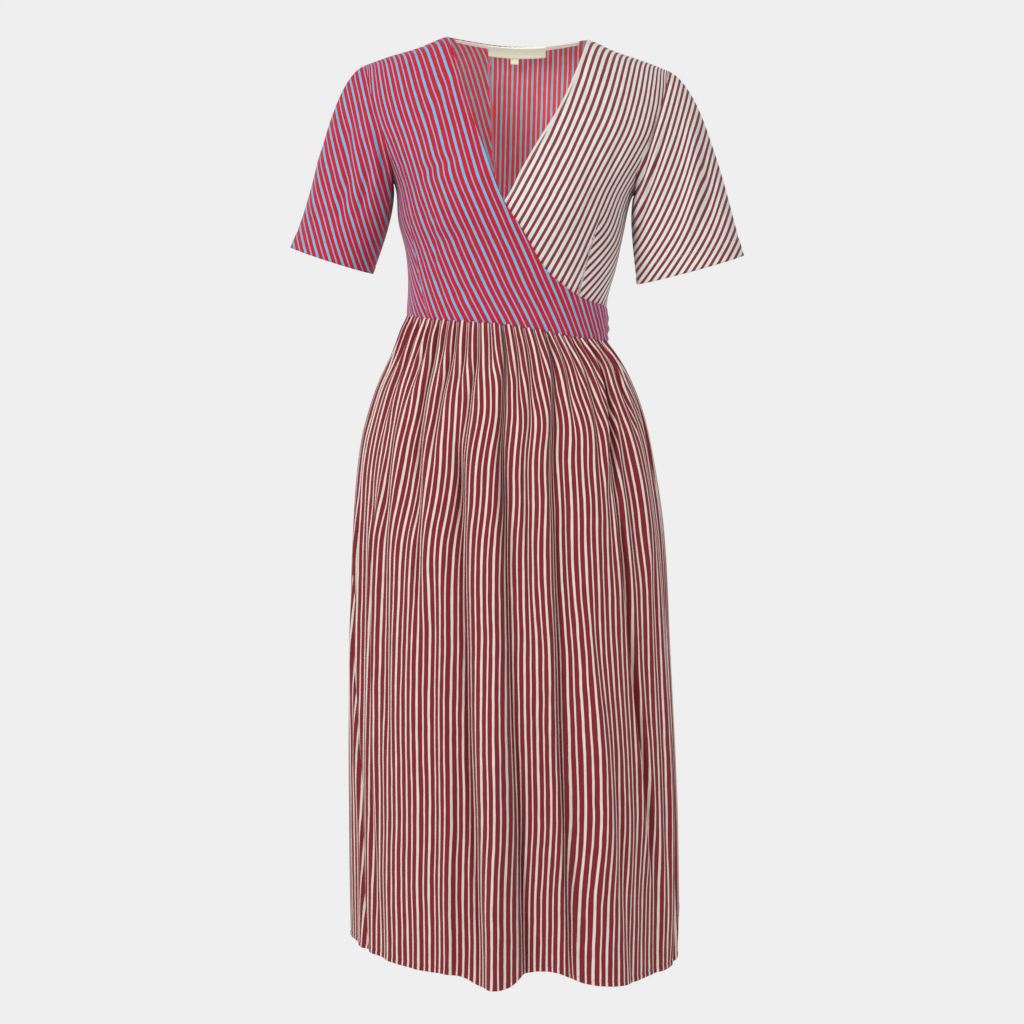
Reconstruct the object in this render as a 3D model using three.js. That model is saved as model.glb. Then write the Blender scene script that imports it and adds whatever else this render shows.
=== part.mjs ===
import * as THREE from 'three';

// A short-sleeved wrap dress, filled out as it is when worn, in millimetres with Z up.
// The origin lies between the shoulders, X runs towards the wearer's left and the front faces -Y.

// Driving sizes.
const clothThickness = 1.2;
const seamGap = 0.3;
const layerRise = 2.6;
const sideFlatness = 0.12;
const bustRise = 12;
const bustPlace = 72;
const bustWidth = 52;
const bustLevel = 152;
const bustHeight = 48;
const waistLevel = -341;
const waistLiftReach = 60;
const underarmUp = 172.5;
const shoulderUp = 402;
const neckLeft = 27.6;
const neckRight = 27.4;
const skirtLength = 800;
const frontGathers = 20;
const backGathers = 17;
const underGathers = 9;
const underGatherShare = 0.25;
const gatherLift = 0.3;
const underInset = { waist: 3.2, below: 5 };
const foldFade = 160;
const ruchePitch = 12.6;
const rucheDepth = 1.1;
const rucheRise = 1.2;
const bindingWidth = 7;
const bindingThickness = 0.8;
const bindingReach = 24;
const labelWidth = 72;
const labelHeight = 16;
const labelThickness = 0.6;
const labelHang = 4;
const tabWidth = 10;
const tabHeight = 9;
const tabTuck = 2;
const tabMiddle = -3;
const sleeveHemLean = 4;
const sleeveBulge = 22;

// Numbers of strips that each sheet is laid out in.
const frontSideStrips = 15;
const backSideStrips = 6;
const armholeStrips = 10;
const overStrips = 25;
const underStrips = 20;
const shoulderStrips = 7;
const neckStrips = 12;
const sleeveStrips = 8;
const skirtStrips = 10;
const innerSkirtStrips = 9;
const stripCrowding = 1.35;
const armholeCrowding = 1.25;

// Half of a seam's gap, as an angle at the side, and as a distance at the waist and shoulder.
const seamAngle = 0.12;
const seamUp = seamGap / 2;
const seamTop = shoulderUp - seamGap;
const sideEdge = 90 - seamAngle;

const degree = Math.PI / 180;

// A table is a line of column names and one line of numbers for each section or fold.
function table(names, ...lines) {
  const keys = names.split(' ');
  return lines.map((line) => Object.fromEntries(keys.map((key, i) => [key, line[i]])));
}

// Sections of the bodice, by the distance up the cloth from the waist seam.
// Each is an oval of a half width and a front and a back depth, about a middle line.
// The last line mirrors the one before the shoulder seam, so the cloth rolls over it.
const bodiceSections = table('up level middle half front back tilt slope dip',
  [0, waistLevel, -9, 125, 86, 78, -0.124, 0, 3.5],
  [45, -296, -8, 124, 88, 80, -0.10, 0, 2],
  [85, -256, -4, 131, 94, 86, -0.08, 0, 0],
  [125, -216, -4, 140, 101, 92, -0.06, 0, 0],
  [165, -176, -1, 146, 105, 97, -0.05, 0, 0],
  [190, -151, 0, 157, 104, 99, -0.05, 0.15, 0],
  [225, -117, 1, 176, 99, 100, -0.04, 0.45, 0],
  [265, -79, 2, 194, 90, 97, -0.03, 0.75, 0],
  [305, -40, 3, 198, 77, 90, -0.02, 0.92, 0],
  [340, -9, 4, 195, 59, 76, -0.02, 1, 0],
  [370, 11, 4, 191, 34, 53, -0.02, 1, 0],
  [402, 18, 4, 190, 0, 0, -0.02, 1, 0],
  [434, 11, 4, 191, -34, -53, -0.02, 1, 0],
);

// How far the shoulder line falls, by the distance from the middle.
const shoulderFall = table('out fall',
  [0, -3], [60, -3], [88, 0], [122, 14], [160, 26], [195, 39], [230, 52],
);

// Armhole edges, in degrees from the middle of the front and of the back.
const armholeEdge = table('up front back',
  [172.5, 89.85, 89.85],
  [182, 80, 81],
  [190, 72, 75],
  [225, 62.5, 67],
  [265, 59, 64],
  [305, 63, 66],
  [340, 70.5, 72],
  [370, 79, 80],
  [402, 89.85, 89.85],
);

// Rows of a front panel: how far up the side seam each starts, and the share of the free
// edge that it reaches. They lie closest beside the ruched end of the wrap.
const frontRows = table('row side along',
  [0, 0, 0], [6, 38, 0.2], [11, 77, 0.45], [frontSideStrips, underarmUp, 0.66],
  [frontSideStrips + armholeStrips, shoulderUp, 1],
);

// Free edge of the over front, from the waist seam to the neck point.
const overEdge = table('along angle up',
  [0, 77, 0],
  [0.1, 81, 20],
  [0.2, 75, 38],
  [0.3, 50.9, 44.4],
  [0.38, 33.4, 56.4],
  [0.45, 17.9, 77],
  [0.54, 5.7, 118.6],
  [0.62, -5.1, 155.3],
  [0.68, -9, 182],
  [0.77, -13.2, 219.3],
  [0.88, -18.7, 285.8],
  [0.95, -24.5, 350],
  [1, -27.4, 402],
);

// Free edge of the under front, which runs on behind the over front.
const underEdge = table('along angle up',
  [0, -79, 0],
  [0.2, -76, 38],
  [0.3, -56, 46],
  [0.38, -38, 62],
  [0.45, -24, 86],
  [0.54, -13, 122],
  [0.6, -3.6, 151.9],
  [0.68, 3.5, 190.9],
  [0.75, 9.8, 229.7],
  [0.81, 14.5, 260.5],
  [0.91, 20.7, 309.7],
  [0.97, 26, 364],
  [1, 27.6, 402],
);

// Back neck edge, in degrees from the middle of the back.
const neckEdge = table('angle up',
  [-neckRight, shoulderUp], [-23, 388], [-12, 375], [0, 370.5], [12, 374], [23, 387], [neckLeft, shoulderUp],
);

// Sections of the skirt, by the distance down from the waist seam.
const skirtSections = table('down middle half front back tilt dip',
  [0, -9, 125, 86, 78, -0.124, 3.5],
  [40, -4.5, 144.5, 101, 97, -0.10, 2],
  [90, -7, 166, 117, 116, -0.07, 0],
  [150, -9.6, 181.5, 130, 131, -0.04, 0],
  [250, -7.3, 193.5, 142, 143, -0.02, 0],
  [400, -5.4, 199.8, 152, 152, 0, 0],
  [600, -0.5, 205.3, 162, 160, 0, 0],
  [800, 2.5, 206, 168, 165, 0, 0],
);

// How far the waist seam is drawn up, by the angle from the middle of the front.
const waistLift = table('angle lift',
  [-90, 0], [-60, 0], [-40, 1.2], [-20, 3.6], [-1, 5.5], [12, 4.6], [23, 3], [40, 0.4], [60, 0], [90, 0],
);

// Height of the gathers, by the distance down from the waist seam.
const gatherHeight = table('down height',
  [0, 1.5], [15, 3.2], [60, 4.4], [150, 3.4], [300, 2.3], [500, 1.6], [800, 1.6],
);

// Hem lines, in degrees round the skirt from the middle of the front or of the back.
const overHem = table('angle down',
  [-90, 752], [-61, 763], [-35, 776], [-19.5, 781], [-11, 792], [-3, 792], [3, 780], [9, 776],
  [15, 779], [23, 789], [40, 793], [57, 787], [66, 782], [72, 772], [75.5, 750], [77, 722],
);
const underHem = table('angle down',
  [-76, 670], [-72, 700], [-62, 732], [-40, 752], [0, 764], [40, 760], [60, 742], [80, 720], [90, 717],
);
const backHem = table('angle down',
  [-90, 717], [-80, 722], [-60, 750], [-30, 778], [0, 788], [30, 784], [60, 772], [90, 752],
);

// Angle of the over skirt's free edge, by the distance down.
const overSkirtEdge = table('down angle', [0, 77], [40, 79], [200, 82], [500, 80], [740, 77], [800, 77]);

// Large folds: the middle of each at the waist and at the hem, its half width in degrees,
// how far it stands out or sinks in at its deepest, and the stretch of skirt that it runs over.
const frontFolds = table('waist hem width depth from to',
  [-41, -33, 4, -6, 0, 330],
  [-66, -66, 5, -5, 150, 800],
  [-20, -14.5, 5, -13, 90, 900],
  [-6, -7, 8, 17, 380, 1100],
  [-1, 4, 4, -12, 60, 900],
  [9, 9, 8, -13, 400, 1100],
  [21, 19, 4, -9, 0, 900],
  [30, 32, 9, 18, 360, 1100],
  [52, 52, 5, -8, 0, 560],
  [60, 66, 6, 6, 40, 900],
);
const backFolds = table('waist hem width depth from to',
  [-60, -62, 6, -7, 60, 900],
  [-44, -40, 8, 14, 300, 1100],
  [-27, -22, 5, -11, 0, 900],
  [-8, -10, 8, 16, 260, 1100],
  [5, 8, 5, -12, 40, 900],
  [22, 26, 9, 15, 340, 1100],
  [40, 44, 5, -9, 0, 800],
  [58, 62, 7, 8, 200, 900],
);

// Sleeves: where the hem lies, its half width across and front to back, and the pull of
// the cloth at each end of the top line and of the underarm line.
const sleeves = {
  right: {
    side: -1, outer: [-278, -240], inner: [-175.5, -273], depth: 60,
    topStart: [-130, -60], topEnd: [-100, -215], underStart: [10, -95], underEnd: [-40, -110],
  },
  left: {
    side: 1, outer: [286, -250], inner: [153, -286], depth: 47,
    topStart: [130, -75], topEnd: [75, -250], underStart: [-16, -95], underEnd: [12, -110],
  },
};

// Smooth value of a column at a place along the first column of a table.
function read(rows, place, column) {
  const key = Object.keys(rows[0])[0];
  const last = rows.length - 1;
  let i = 0;
  while (i < last - 1 && place >= rows[i + 1][key]) i += 1;
  const slope = (k) => {
    const a = rows[Math.max(k - 1, 0)];
    const b = rows[Math.min(k + 1, last)];
    return (b[column] - a[column]) / (b[key] - a[key]);
  };
  const [a, b] = [rows[i], rows[i + 1]];
  const step = b[key] - a[key];
  const t = (place - a[key]) / step;
  const [t2, t3] = [t * t, t * t * t];
  return (2 * t3 - 3 * t2 + 1) * a[column] + (t3 - 2 * t2 + t) * step * slope(i)
    + (3 * t2 - 2 * t3) * b[column] + (t3 - t2) * step * slope(i + 1);
}

// Soft step from 0 at one value to 1 at another.
function ease(from, to, value) {
  const t = THREE.MathUtils.clamp((value - from) / (to - from), 0, 1);
  return t * t * (3 - 2 * t);
}

const mix = THREE.MathUtils.lerp;

// Soft mound, 1 at its middle.
function mound(distance, width) {
  return Math.exp(-((distance / width) ** 2));
}

// Point of an oval section. The angle runs from the front, through the wearer's left, to the back.
function ovalPoint(section, angle, level) {
  const [s, c] = [Math.sin(angle * degree), Math.cos(angle * degree)];
  const across = section('half') * s;
  const depth = c >= 0 ? section('front') : section('back');
  return new THREE.Vector3(
    section('middle') + across,
    -depth * c * (1 + sideFlatness * s * s),
    level + section('tilt') * across - section('dip') * c,
  );
}

// How far a place on either side of the waist seam is lifted with it.
function seamLift(angle, distance) {
  return read(waistLift, THREE.MathUtils.clamp(angle, -90, 90), 'lift') * ease(waistLiftReach, 0, distance);
}

// Point of the bodice, before its layers are parted.
function bodicePoint(angle, up) {
  const section = (column) => read(bodiceSections, up, column);
  const point = ovalPoint(section, angle, section('level'));
  const out = point.x - section('middle');
  point.z += seamLift(angle, up) - section('slope') * read(shoulderFall, Math.abs(out), 'fall');
  const facing = Math.max(Math.cos(angle * degree), 0);
  const fullness = mound(out - bustPlace, bustWidth) + mound(out + bustPlace, bustWidth);
  point.y -= bustRise * fullness * mound(up - bustLevel, bustHeight) * Math.sqrt(facing);
  point.y -= (facing > 0 ? 1 : -1) * seamGap * ease(shoulderUp - 20, shoulderUp, up);
  return point;
}

// Direction out of the bodice, or straight out at its own level.
function bodiceNormal(angle, up, level) {
  const middle = Math.abs(angle) > 90 ? 180 : 0;
  const reach = up > 380 ? 84 : 90;
  const clear = middle + THREE.MathUtils.clamp(angle - middle, -reach, reach);
  const round = bodicePoint(clear + 0.5, up).sub(bodicePoint(clear - 0.5, up));
  const normal = round.cross(bodicePoint(clear, up + 1).sub(bodicePoint(clear, up - 1)));
  if (level) normal.z = 0;
  return normal.normalize();
}

// Outer and inner grids of a bodice panel, from its places and its rise off the form.
function bodiceLayers(places, rise = () => 0) {
  const clearOfSeam = ({ angle, up }) => [angle, THREE.MathUtils.clamp(up, seamUp, seamTop)];
  const outer = places.map((row) => row.map((place) => {
    const [angle, up] = clearOfSeam(place);
    return bodicePoint(angle, up).addScaledVector(bodiceNormal(angle, up, true), rise(angle, up));
  }));
  const inner = outer.map((row, v) => row.map((point, u) => {
    const normal = bodiceNormal(...clearOfSeam(places[v][u]), false);
    return point.clone().addScaledVector(normal, -clothThickness);
  }));
  return { outer, inner };
}

// Point of the skirt, before its layers are parted.
function skirtPoint(angle, down) {
  const section = (column) => read(skirtSections, down, column);
  return ovalPoint(section, angle, waistLevel - down + seamLift(angle, down));
}

// Moves a grid of points out along its own normals, or straight out at their own level.
// Rows of the grid run upwards and columns run round.
function moved(grid, distance, { ring = false, level = false } = {}) {
  const rows = grid.length - 1;
  const columns = grid[0].length - 1;
  const along = (pick, i, last) => {
    if (i === 0) return pick(1).clone().multiplyScalar(4).addScaledVector(pick(0), -3).sub(pick(2));
    if (i === last) {
      return pick(last).clone().multiplyScalar(3).addScaledVector(pick(last - 1), -4).add(pick(last - 2));
    }
    return pick(i + 1).clone().sub(pick(i - 1));
  };
  return grid.map((row, v) => row.map((point, u) => {
    const round = ring
      ? row[(u + 1) % row.length].clone().sub(row[(u + row.length - 1) % row.length])
      : along((i) => row[i], u, columns);
    const upward = along((i) => grid[i][u], v, rows);
    const normal = round.cross(upward);
    if (level) normal.z = 0;
    normal.normalize();
    const step = typeof distance === 'function' ? distance(u, v) : distance;
    return point.clone().addScaledVector(normal, step);
  }));
}

// Closed wall between an outer and an inner grid of points.
function wall(outer, inner, ring = false) {
  const rows = outer.length;
  const columns = outer[0].length;
  const points = [...outer.flat(), ...inner.flat()];
  const place = (layer, v, u) => layer * rows * columns + v * columns + (u % columns);
  const faces = [];
  const quad = (a, b, c, d) => faces.push(a, b, c, a, c, d);
  const spans = ring ? columns : columns - 1;
  const top = rows - 1;
  for (let v = 0; v < rows - 1; v += 1) {
    for (let u = 0; u < spans; u += 1) {
      quad(place(0, v, u), place(0, v, u + 1), place(0, v + 1, u + 1), place(0, v + 1, u));
      quad(place(1, v, u), place(1, v + 1, u), place(1, v + 1, u + 1), place(1, v, u + 1));
    }
  }
  for (let u = 0; u < spans; u += 1) {
    quad(place(1, 0, u), place(1, 0, u + 1), place(0, 0, u + 1), place(0, 0, u));
    quad(place(0, top, u), place(0, top, u + 1), place(1, top, u + 1), place(1, top, u));
  }
  for (let v = 0; v < rows - 1 && !ring; v += 1) {
    quad(place(0, v, 0), place(0, v + 1, 0), place(1, v + 1, 0), place(1, v, 0));
    const end = columns - 1;
    quad(place(1, v, end), place(1, v + 1, end), place(0, v + 1, end), place(0, v, end));
  }
  const geometry = new THREE.BufferGeometry();
  const numbers = points.flatMap((point) => point.toArray());
  geometry.setAttribute('position', new THREE.Float32BufferAttribute(numbers, 3));
  geometry.setIndex(faces);
  geometry.computeVertexNormals();
  return geometry;
}

// Cloth wall on a grid of its outer points.
function cloth(outer, thickness = clothThickness, ring = false) {
  return wall(outer, moved(outer, -thickness, { ring }), ring);
}

// Even steps from 0 to 1.
function steps(count) {
  return Array.from({ length: count + 1 }, (_, i) => i / count);
}

// Place on an armhole edge, from the underarm at 0 to the shoulder at 1.
function armholePlace(share, face) {
  const up = mix(underarmUp, shoulderUp, share ** armholeCrowding);
  return { angle: read(armholeEdge, up, face), up };
}

// Places on a side edge: up the side seam at the given heights, then round the armhole.
function sidePlaces(heights, face) {
  return [
    ...heights.map((up) => ({ angle: sideEdge, up })),
    ...steps(armholeStrips).slice(1).map((share) => armholePlace(share, face)),
  ];
}

// How far the over front stands off the under front.
function overRise(angle, up) {
  const raised = ease(-86, -50, angle) * ease(265, 185, up);
  const ruche = Math.cos((2 * Math.PI * up) / ruchePitch) * ease(45, 0, up);
  return layerRise * raised + ease(58, 77, angle) * ease(60, 36, up) * (rucheRise + rucheDepth * ruche);
}

// How far the under front sinks as it nears the side where it is hidden.
function underRise(angle, up) {
  return -layerRise * ease(-35, -70, angle) * ease(130, 90, up);
}

// Front bodice panel, between its side edge and its free edge.
function frontPanel({ side, edge, strips, rise }) {
  const heights = steps(frontSideStrips).map((t) => read(frontRows, t * frontSideStrips, 'side'));
  const grid = sidePlaces(heights, 'front').map((seam, row) => {
    const along = read(frontRows, row, 'along');
    const free = { angle: read(edge, along, 'angle'), up: read(edge, along, 'up') };
    return steps(strips).map((u) => {
      return { angle: mix(side * seam.angle, free.angle, u), up: mix(seam.up, free.up, u) };
    });
  });
  const ordered = side < 0 ? grid : grid.map((row) => row.slice().reverse());
  const { outer, inner } = bodiceLayers(ordered, rise);
  return wall(outer, inner);
}

function frontBodiceOver() {
  return frontPanel({ side: -1, edge: overEdge, strips: overStrips, rise: overRise });
}

function frontBodiceUnder() {
  return frontPanel({ side: 1, edge: underEdge, strips: underStrips, rise: underRise });
}

// Places across the back from one shoulder to the other, with one at each neck point.
function backShares() {
  const neckFrom = 0.5 - neckLeft / 180;
  const neckTo = 0.5 + neckRight / 180;
  return [
    ...steps(shoulderStrips).map((t) => t * neckFrom),
    ...steps(neckStrips).slice(1).map((t) => mix(neckFrom, neckTo, t)),
    ...steps(shoulderStrips).slice(1).map((t) => mix(neckTo, 1, t)),
  ];
}

// Height of the back's top edge at a share of the way from the wearer's left to right.
function backTop(share) {
  const angle = (0.5 - share) * 180;
  return angle > -neckRight && angle < neckLeft ? read(neckEdge, angle, 'up') : seamTop;
}

// Place on the back bodice: a share of the way round from the wearer's left side edge.
function backPlace(share, edge) {
  const angle = mix(180 - edge.angle, 180 + edge.angle, share);
  const above = Math.max(edge.up - underarmUp, 0) / (shoulderUp - underarmUp);
  return { angle, up: edge.up + above * (backTop(share) - shoulderUp) };
}

const backEdge = sidePlaces(steps(backSideStrips).map((t) => t * underarmUp), 'back');
const backPlaces = backEdge.map((edge) => backShares().map((share) => backPlace(share, edge)));
const backLayers = bodiceLayers(backPlaces);

function backBodice() {
  return wall(backLayers.outer, backLayers.inner);
}

// Point on the inside of the back, at a distance below the neck edge down one column of the grid.
function belowNeck(column, distance) {
  const { inner } = backLayers;
  let left = distance;
  let row = inner.length - 1;
  let step = inner[row][column].distanceTo(inner[row - 1][column]);
  while (left > step) {
    left -= step;
    row -= 1;
    step = inner[row][column].distanceTo(inner[row - 1][column]);
  }
  return inner[row][column].clone().lerp(inner[row - 1][column], left / step);
}

// Grid of a small piece that lies on the inside of the back neck.
function neckGrid({ from, to, strips, top, bottom, rows, inset, hang = 0 }) {
  const shares = backShares();
  const points = steps(rows).map((t) => steps(strips).map((u) => {
    const share = 0.5 - mix(from, to, u) / 180;
    const column = shares.findIndex((place, i) => place <= share && share <= shares[i + 1]);
    const between = (share - shares[column]) / (shares[column + 1] - shares[column]);
    const below = mix(bottom, top, t);
    return belowNeck(column, below).lerp(belowNeck(column + 1, below), between);
  }));
  return moved(points, (u, v) => -inset - hang * (1 - v / rows));
}

const bindingInset = 0.8;
const labelInset = bindingInset + bindingThickness + seamGap;
const neckHalfWidth = 190;

// Angle that a width across the back neck takes.
function neckAngle(width) {
  return Math.asin(width / neckHalfWidth) / degree;
}

function backNeckBinding() {
  const grid = neckGrid({
    from: bindingReach, to: -bindingReach, strips: 14, rows: 2,
    top: 0, bottom: bindingWidth, inset: bindingInset,
  });
  return cloth(grid, bindingThickness);
}

function neckLabel() {
  const half = neckAngle(labelWidth / 2);
  const grid = neckGrid({
    from: half, to: -half, strips: 8, rows: 2,
    top: 0, bottom: labelHeight, inset: labelInset, hang: labelHang,
  });
  return cloth(grid, labelThickness);
}

// The tab's top is tucked in behind the label's lower edge, and it hangs on from there.
function sizeTab() {
  const half = neckAngle(tabWidth / 2);
  const middle = neckAngle(tabMiddle);
  const top = labelHeight - tabTuck;
  const lean = labelHang / labelHeight;
  const grid = neckGrid({
    from: middle + half, to: middle - half, strips: 2, rows: 2,
    top, bottom: labelHeight + tabHeight,
    inset: labelInset + lean * top - labelThickness - seamGap, hang: lean * (tabTuck + tabHeight),
  });
  return cloth(grid, labelThickness);
}

// Ring of places round an armhole, from the shoulder through the front for the right sleeve.
function armholeRing(side) {
  const first = side < 0 ? 'front' : 'back';
  const second = side < 0 ? 'back' : 'front';
  const ring = [];
  for (let i = 0; i < 2 * armholeStrips; i += 1) {
    const face = i < armholeStrips ? first : second;
    const share = i < armholeStrips ? 1 - i / armholeStrips : (i - armholeStrips) / armholeStrips;
    const { angle, up } = armholePlace(share, face);
    ring.push(bodicePoint(face === 'front' ? side * angle : 180 - side * angle, up));
  }
  ring[0].y = 0;
  ring[armholeStrips].y = 0;
  return ring;
}

// Grid of a sleeve, as smooth curves from the armhole to the hem.
function sleeveGrid({ side, outer, inner, depth, topStart, topEnd, underStart, underEnd }) {
  const ring = armholeRing(side);
  const centre = new THREE.Vector3((outer[0] + inner[0]) / 2, 0, (outer[1] + inner[1]) / 2);
  const across = new THREE.Vector3(outer[0] - inner[0], 0, outer[1] - inner[1]).multiplyScalar(0.5);
  const lines = ring.map((start, i) => {
    const turn = (2 * Math.PI * i) / ring.length;
    const top = (1 + Math.cos(turn)) / 2;
    const forward = side * Math.sin(turn);
    const low = ease(0.75, 0.25, top);
    const begin = start.clone();
    begin.x += side * seamGap * mix(0.6, 3.6, low);
    begin.y += forward * seamGap;
    begin.z -= seamUp * (1 - low);
    const pull = (a, b) => {
      return new THREE.Vector3(mix(b[0], a[0], top), forward * sleeveBulge, mix(b[1], a[1], top));
    };
    const end = centre.clone().addScaledVector(across, Math.cos(turn));
    end.y += forward * depth;
    end.z += forward * sleeveHemLean;
    return { begin, end, leave: pull(topStart, underStart), arrive: pull(topEnd, underEnd) };
  });
  return steps(sleeveStrips).map((t) => 1 - t).map((t) => lines.map(({ begin, end, leave, arrive }) => {
    const [t2, t3] = [t * t, t * t * t];
    return begin.clone().multiplyScalar(2 * t3 - 3 * t2 + 1)
      .addScaledVector(leave, t3 - 2 * t2 + t)
      .addScaledVector(end, 3 * t2 - 2 * t3)
      .addScaledVector(arrive, t3 - t2);
  }));
}

function sleeve(sizes) {
  return cloth(sleeveGrid(sizes), clothThickness, true);
}

// Depth of the large folds at a place on the skirt.
function foldDepth(folds, angle, down) {
  return folds.reduce((sum, fold) => {
    const middle = mix(fold.waist, fold.hem, down / skirtLength);
    const length = ease(fold.from, fold.from + foldFade, down) * ease(fold.to, fold.to - foldFade, down);
    return sum + fold.depth * length * mound(angle - middle, fold.width);
  }, 0);
}

// Height of the gathers at a place on the skirt, uneven from one to the next.
function gatherWave(turn, down, side) {
  const uneven = 0.72 + 0.28 * Math.sin(2.3 * turn + side);
  return read(gatherHeight, down, 'height') * uneven * (gatherLift + Math.cos(2 * Math.PI * turn));
}

// Fades folds out beside a side seam.
function seamFade(angle) {
  return ease(90, 80, Math.abs(angle));
}

// Uneven share across a panel at an even one, so the gathers are not all of one width.
function unevenShare(share) {
  return share + 0.006 * Math.sin(19 * share) + 0.004 * Math.sin(43 * share);
}

// Outer points of a skirt panel, whose angles run from the middle of the front or of the back.
// Its columns fall on the crests, sides and hollows of the gathers.
function skirtPanel({ from, to, gathers, perGather, rows, hem, rise, turned = 0 }) {
  const grid = steps(rows).map((t) => 1 - t).map((t) => steps(gathers * perGather).map((share) => {
    const even = unevenShare(share) / unevenShare(1);
    const hemAngle = mix(from(skirtLength), to(skirtLength), even);
    const length = read(hem, hemAngle, 'down');
    const down = seamUp + t ** stripCrowding * (length - seamUp);
    return { angle: mix(from(down), to(down), even), down, turn: share * gathers };
  }));
  const base = grid.map((row) => row.map(({ angle, down }) => skirtPoint(turned + angle, down)));
  return moved(base, (u, v) => rise(grid[v][u]), { level: true });
}

// How far the over skirt stands off the under skirt.
function overSkirtRise({ angle, down, turn }) {
  const folds = foldDepth(frontFolds, angle, down) + gatherWave(turn, down, 0) * ease(84, 70, angle);
  return layerRise * ease(-88, -60, angle) + folds * seamFade(angle);
}

// The under skirt follows the same large folds, inside them.
function underSkirtRise({ angle, down, turn }) {
  const inside = mix(underInset.waist, underInset.below, ease(0, 60, down)) * ease(90, 82, angle);
  const wave = underGatherShare * gatherWave(turn, down, 1);
  return -inside + (foldDepth(frontFolds, angle, down) + wave) * seamFade(angle);
}

function backSkirtRise({ angle, down, turn }) {
  return (foldDepth(backFolds, angle, down) + gatherWave(turn, down, 2)) * seamFade(angle);
}

function frontSkirtOver() {
  return cloth(skirtPanel({
    from: () => -sideEdge, to: (down) => read(overSkirtEdge, down, 'angle'),
    gathers: frontGathers, perGather: 5, rows: skirtStrips, hem: overHem, rise: overSkirtRise,
  }));
}

function frontSkirtUnder() {
  return cloth(skirtPanel({
    from: () => underHem[0].angle, to: () => sideEdge,
    gathers: underGathers, perGather: 4, rows: innerSkirtStrips, hem: underHem, rise: underSkirtRise,
  }));
}

function backSkirt() {
  return cloth(skirtPanel({
    from: () => -sideEdge, to: () => sideEdge,
    gathers: backGathers, perGather: 4, rows: innerSkirtStrips, hem: backHem, rise: backSkirtRise,
    turned: 180,
  }));
}

const dress = new THREE.Group();

// Adds one sewn piece as a named mesh with the look of its cloth.
function addPiece(name, geometry, color, roughness = 0.85) {
  const mesh = new THREE.Mesh(geometry, new THREE.MeshStandardMaterial({ color, roughness, metalness: 0 }));
  mesh.name = name;
  dress.add(mesh);
}

const redStripe = '#c62534';
const creamStripe = '#e6e3da';
const burgundyStripe = '#822d30';
const creamTape = '#efece0';

addPiece('bodice_front_over', frontBodiceOver(), redStripe);
addPiece('bodice_front_under', frontBodiceUnder(), creamStripe);
addPiece('bodice_back', backBodice(), redStripe);
addPiece('sleeve_right', sleeve(sleeves.right), redStripe);
addPiece('sleeve_left', sleeve(sleeves.left), creamStripe);
addPiece('skirt_front_over', frontSkirtOver(), burgundyStripe);
addPiece('skirt_front_under', frontSkirtUnder(), burgundyStripe);
addPiece('skirt_back', backSkirt(), burgundyStripe);
addPiece('back_neck_binding', backNeckBinding(), creamTape);
addPiece('neck_label', neckLabel(), creamTape, 0.7);
addPiece('size_tab', sizeTab(), creamTape, 0.7);

export default dress;
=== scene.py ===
import math

import bpy
import numpy as np
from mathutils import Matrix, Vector


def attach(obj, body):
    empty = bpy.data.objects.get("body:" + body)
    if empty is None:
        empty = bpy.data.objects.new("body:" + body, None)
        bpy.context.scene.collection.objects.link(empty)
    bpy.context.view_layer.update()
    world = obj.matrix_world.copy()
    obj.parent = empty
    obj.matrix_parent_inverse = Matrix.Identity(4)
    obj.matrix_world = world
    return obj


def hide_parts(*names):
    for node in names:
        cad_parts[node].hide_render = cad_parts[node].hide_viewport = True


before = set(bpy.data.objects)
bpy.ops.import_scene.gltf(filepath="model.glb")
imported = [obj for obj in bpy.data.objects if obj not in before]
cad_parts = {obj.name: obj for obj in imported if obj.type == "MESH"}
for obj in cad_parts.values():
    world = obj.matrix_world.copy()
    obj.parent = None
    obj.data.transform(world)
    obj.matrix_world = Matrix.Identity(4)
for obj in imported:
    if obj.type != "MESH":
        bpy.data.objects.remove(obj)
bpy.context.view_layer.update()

mm = 0.001
degree = math.pi / 180

# Sizes here are in millimetres and turned to metres as each mesh is made. The origin lies between
# the shoulders, X runs towards the wearer's left, and the front of the dress faces -Y.


def table(names, *rows):
    return dict(zip(names.split(), np.array(rows, float).T))


# Smooth value of a column at places along the table's first column.
def smooth(columns, name, place):
    keys, values = next(iter(columns.values())), columns[name]
    slopes = np.empty_like(values)
    slopes[1:-1] = (values[2:] - values[:-2]) / (keys[2:] - keys[:-2])
    slopes[[0, -1]] = (values[[1, -1]] - values[[0, -2]]) / (keys[[1, -1]] - keys[[0, -2]])
    place = np.asarray(place, float)
    i = np.clip(np.searchsorted(keys, place, side="right") - 1, 0, len(keys) - 2)
    step = keys[i + 1] - keys[i]
    t = (place - keys[i]) / step
    return ((2 * t**3 - 3 * t**2 + 1) * values[i] + (t**3 - 2 * t**2 + t) * step * slopes[i]
            + (3 * t**2 - 2 * t**3) * values[i + 1] + (t**3 - t**2) * step * slopes[i + 1])


def ease(start, end, value):
    t = np.clip((np.asarray(value, float) - start) / (end - start), 0, 1)
    return t * t * (3 - 2 * t)


def mound(distance, width):
    return np.exp(-(distance / width) ** 2)


def mix(a, b, t):
    return a + (b - a) * t


def unit(vectors):
    return vectors / np.maximum(np.linalg.norm(vectors, axis=-1, keepdims=True), 1e-9)


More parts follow.
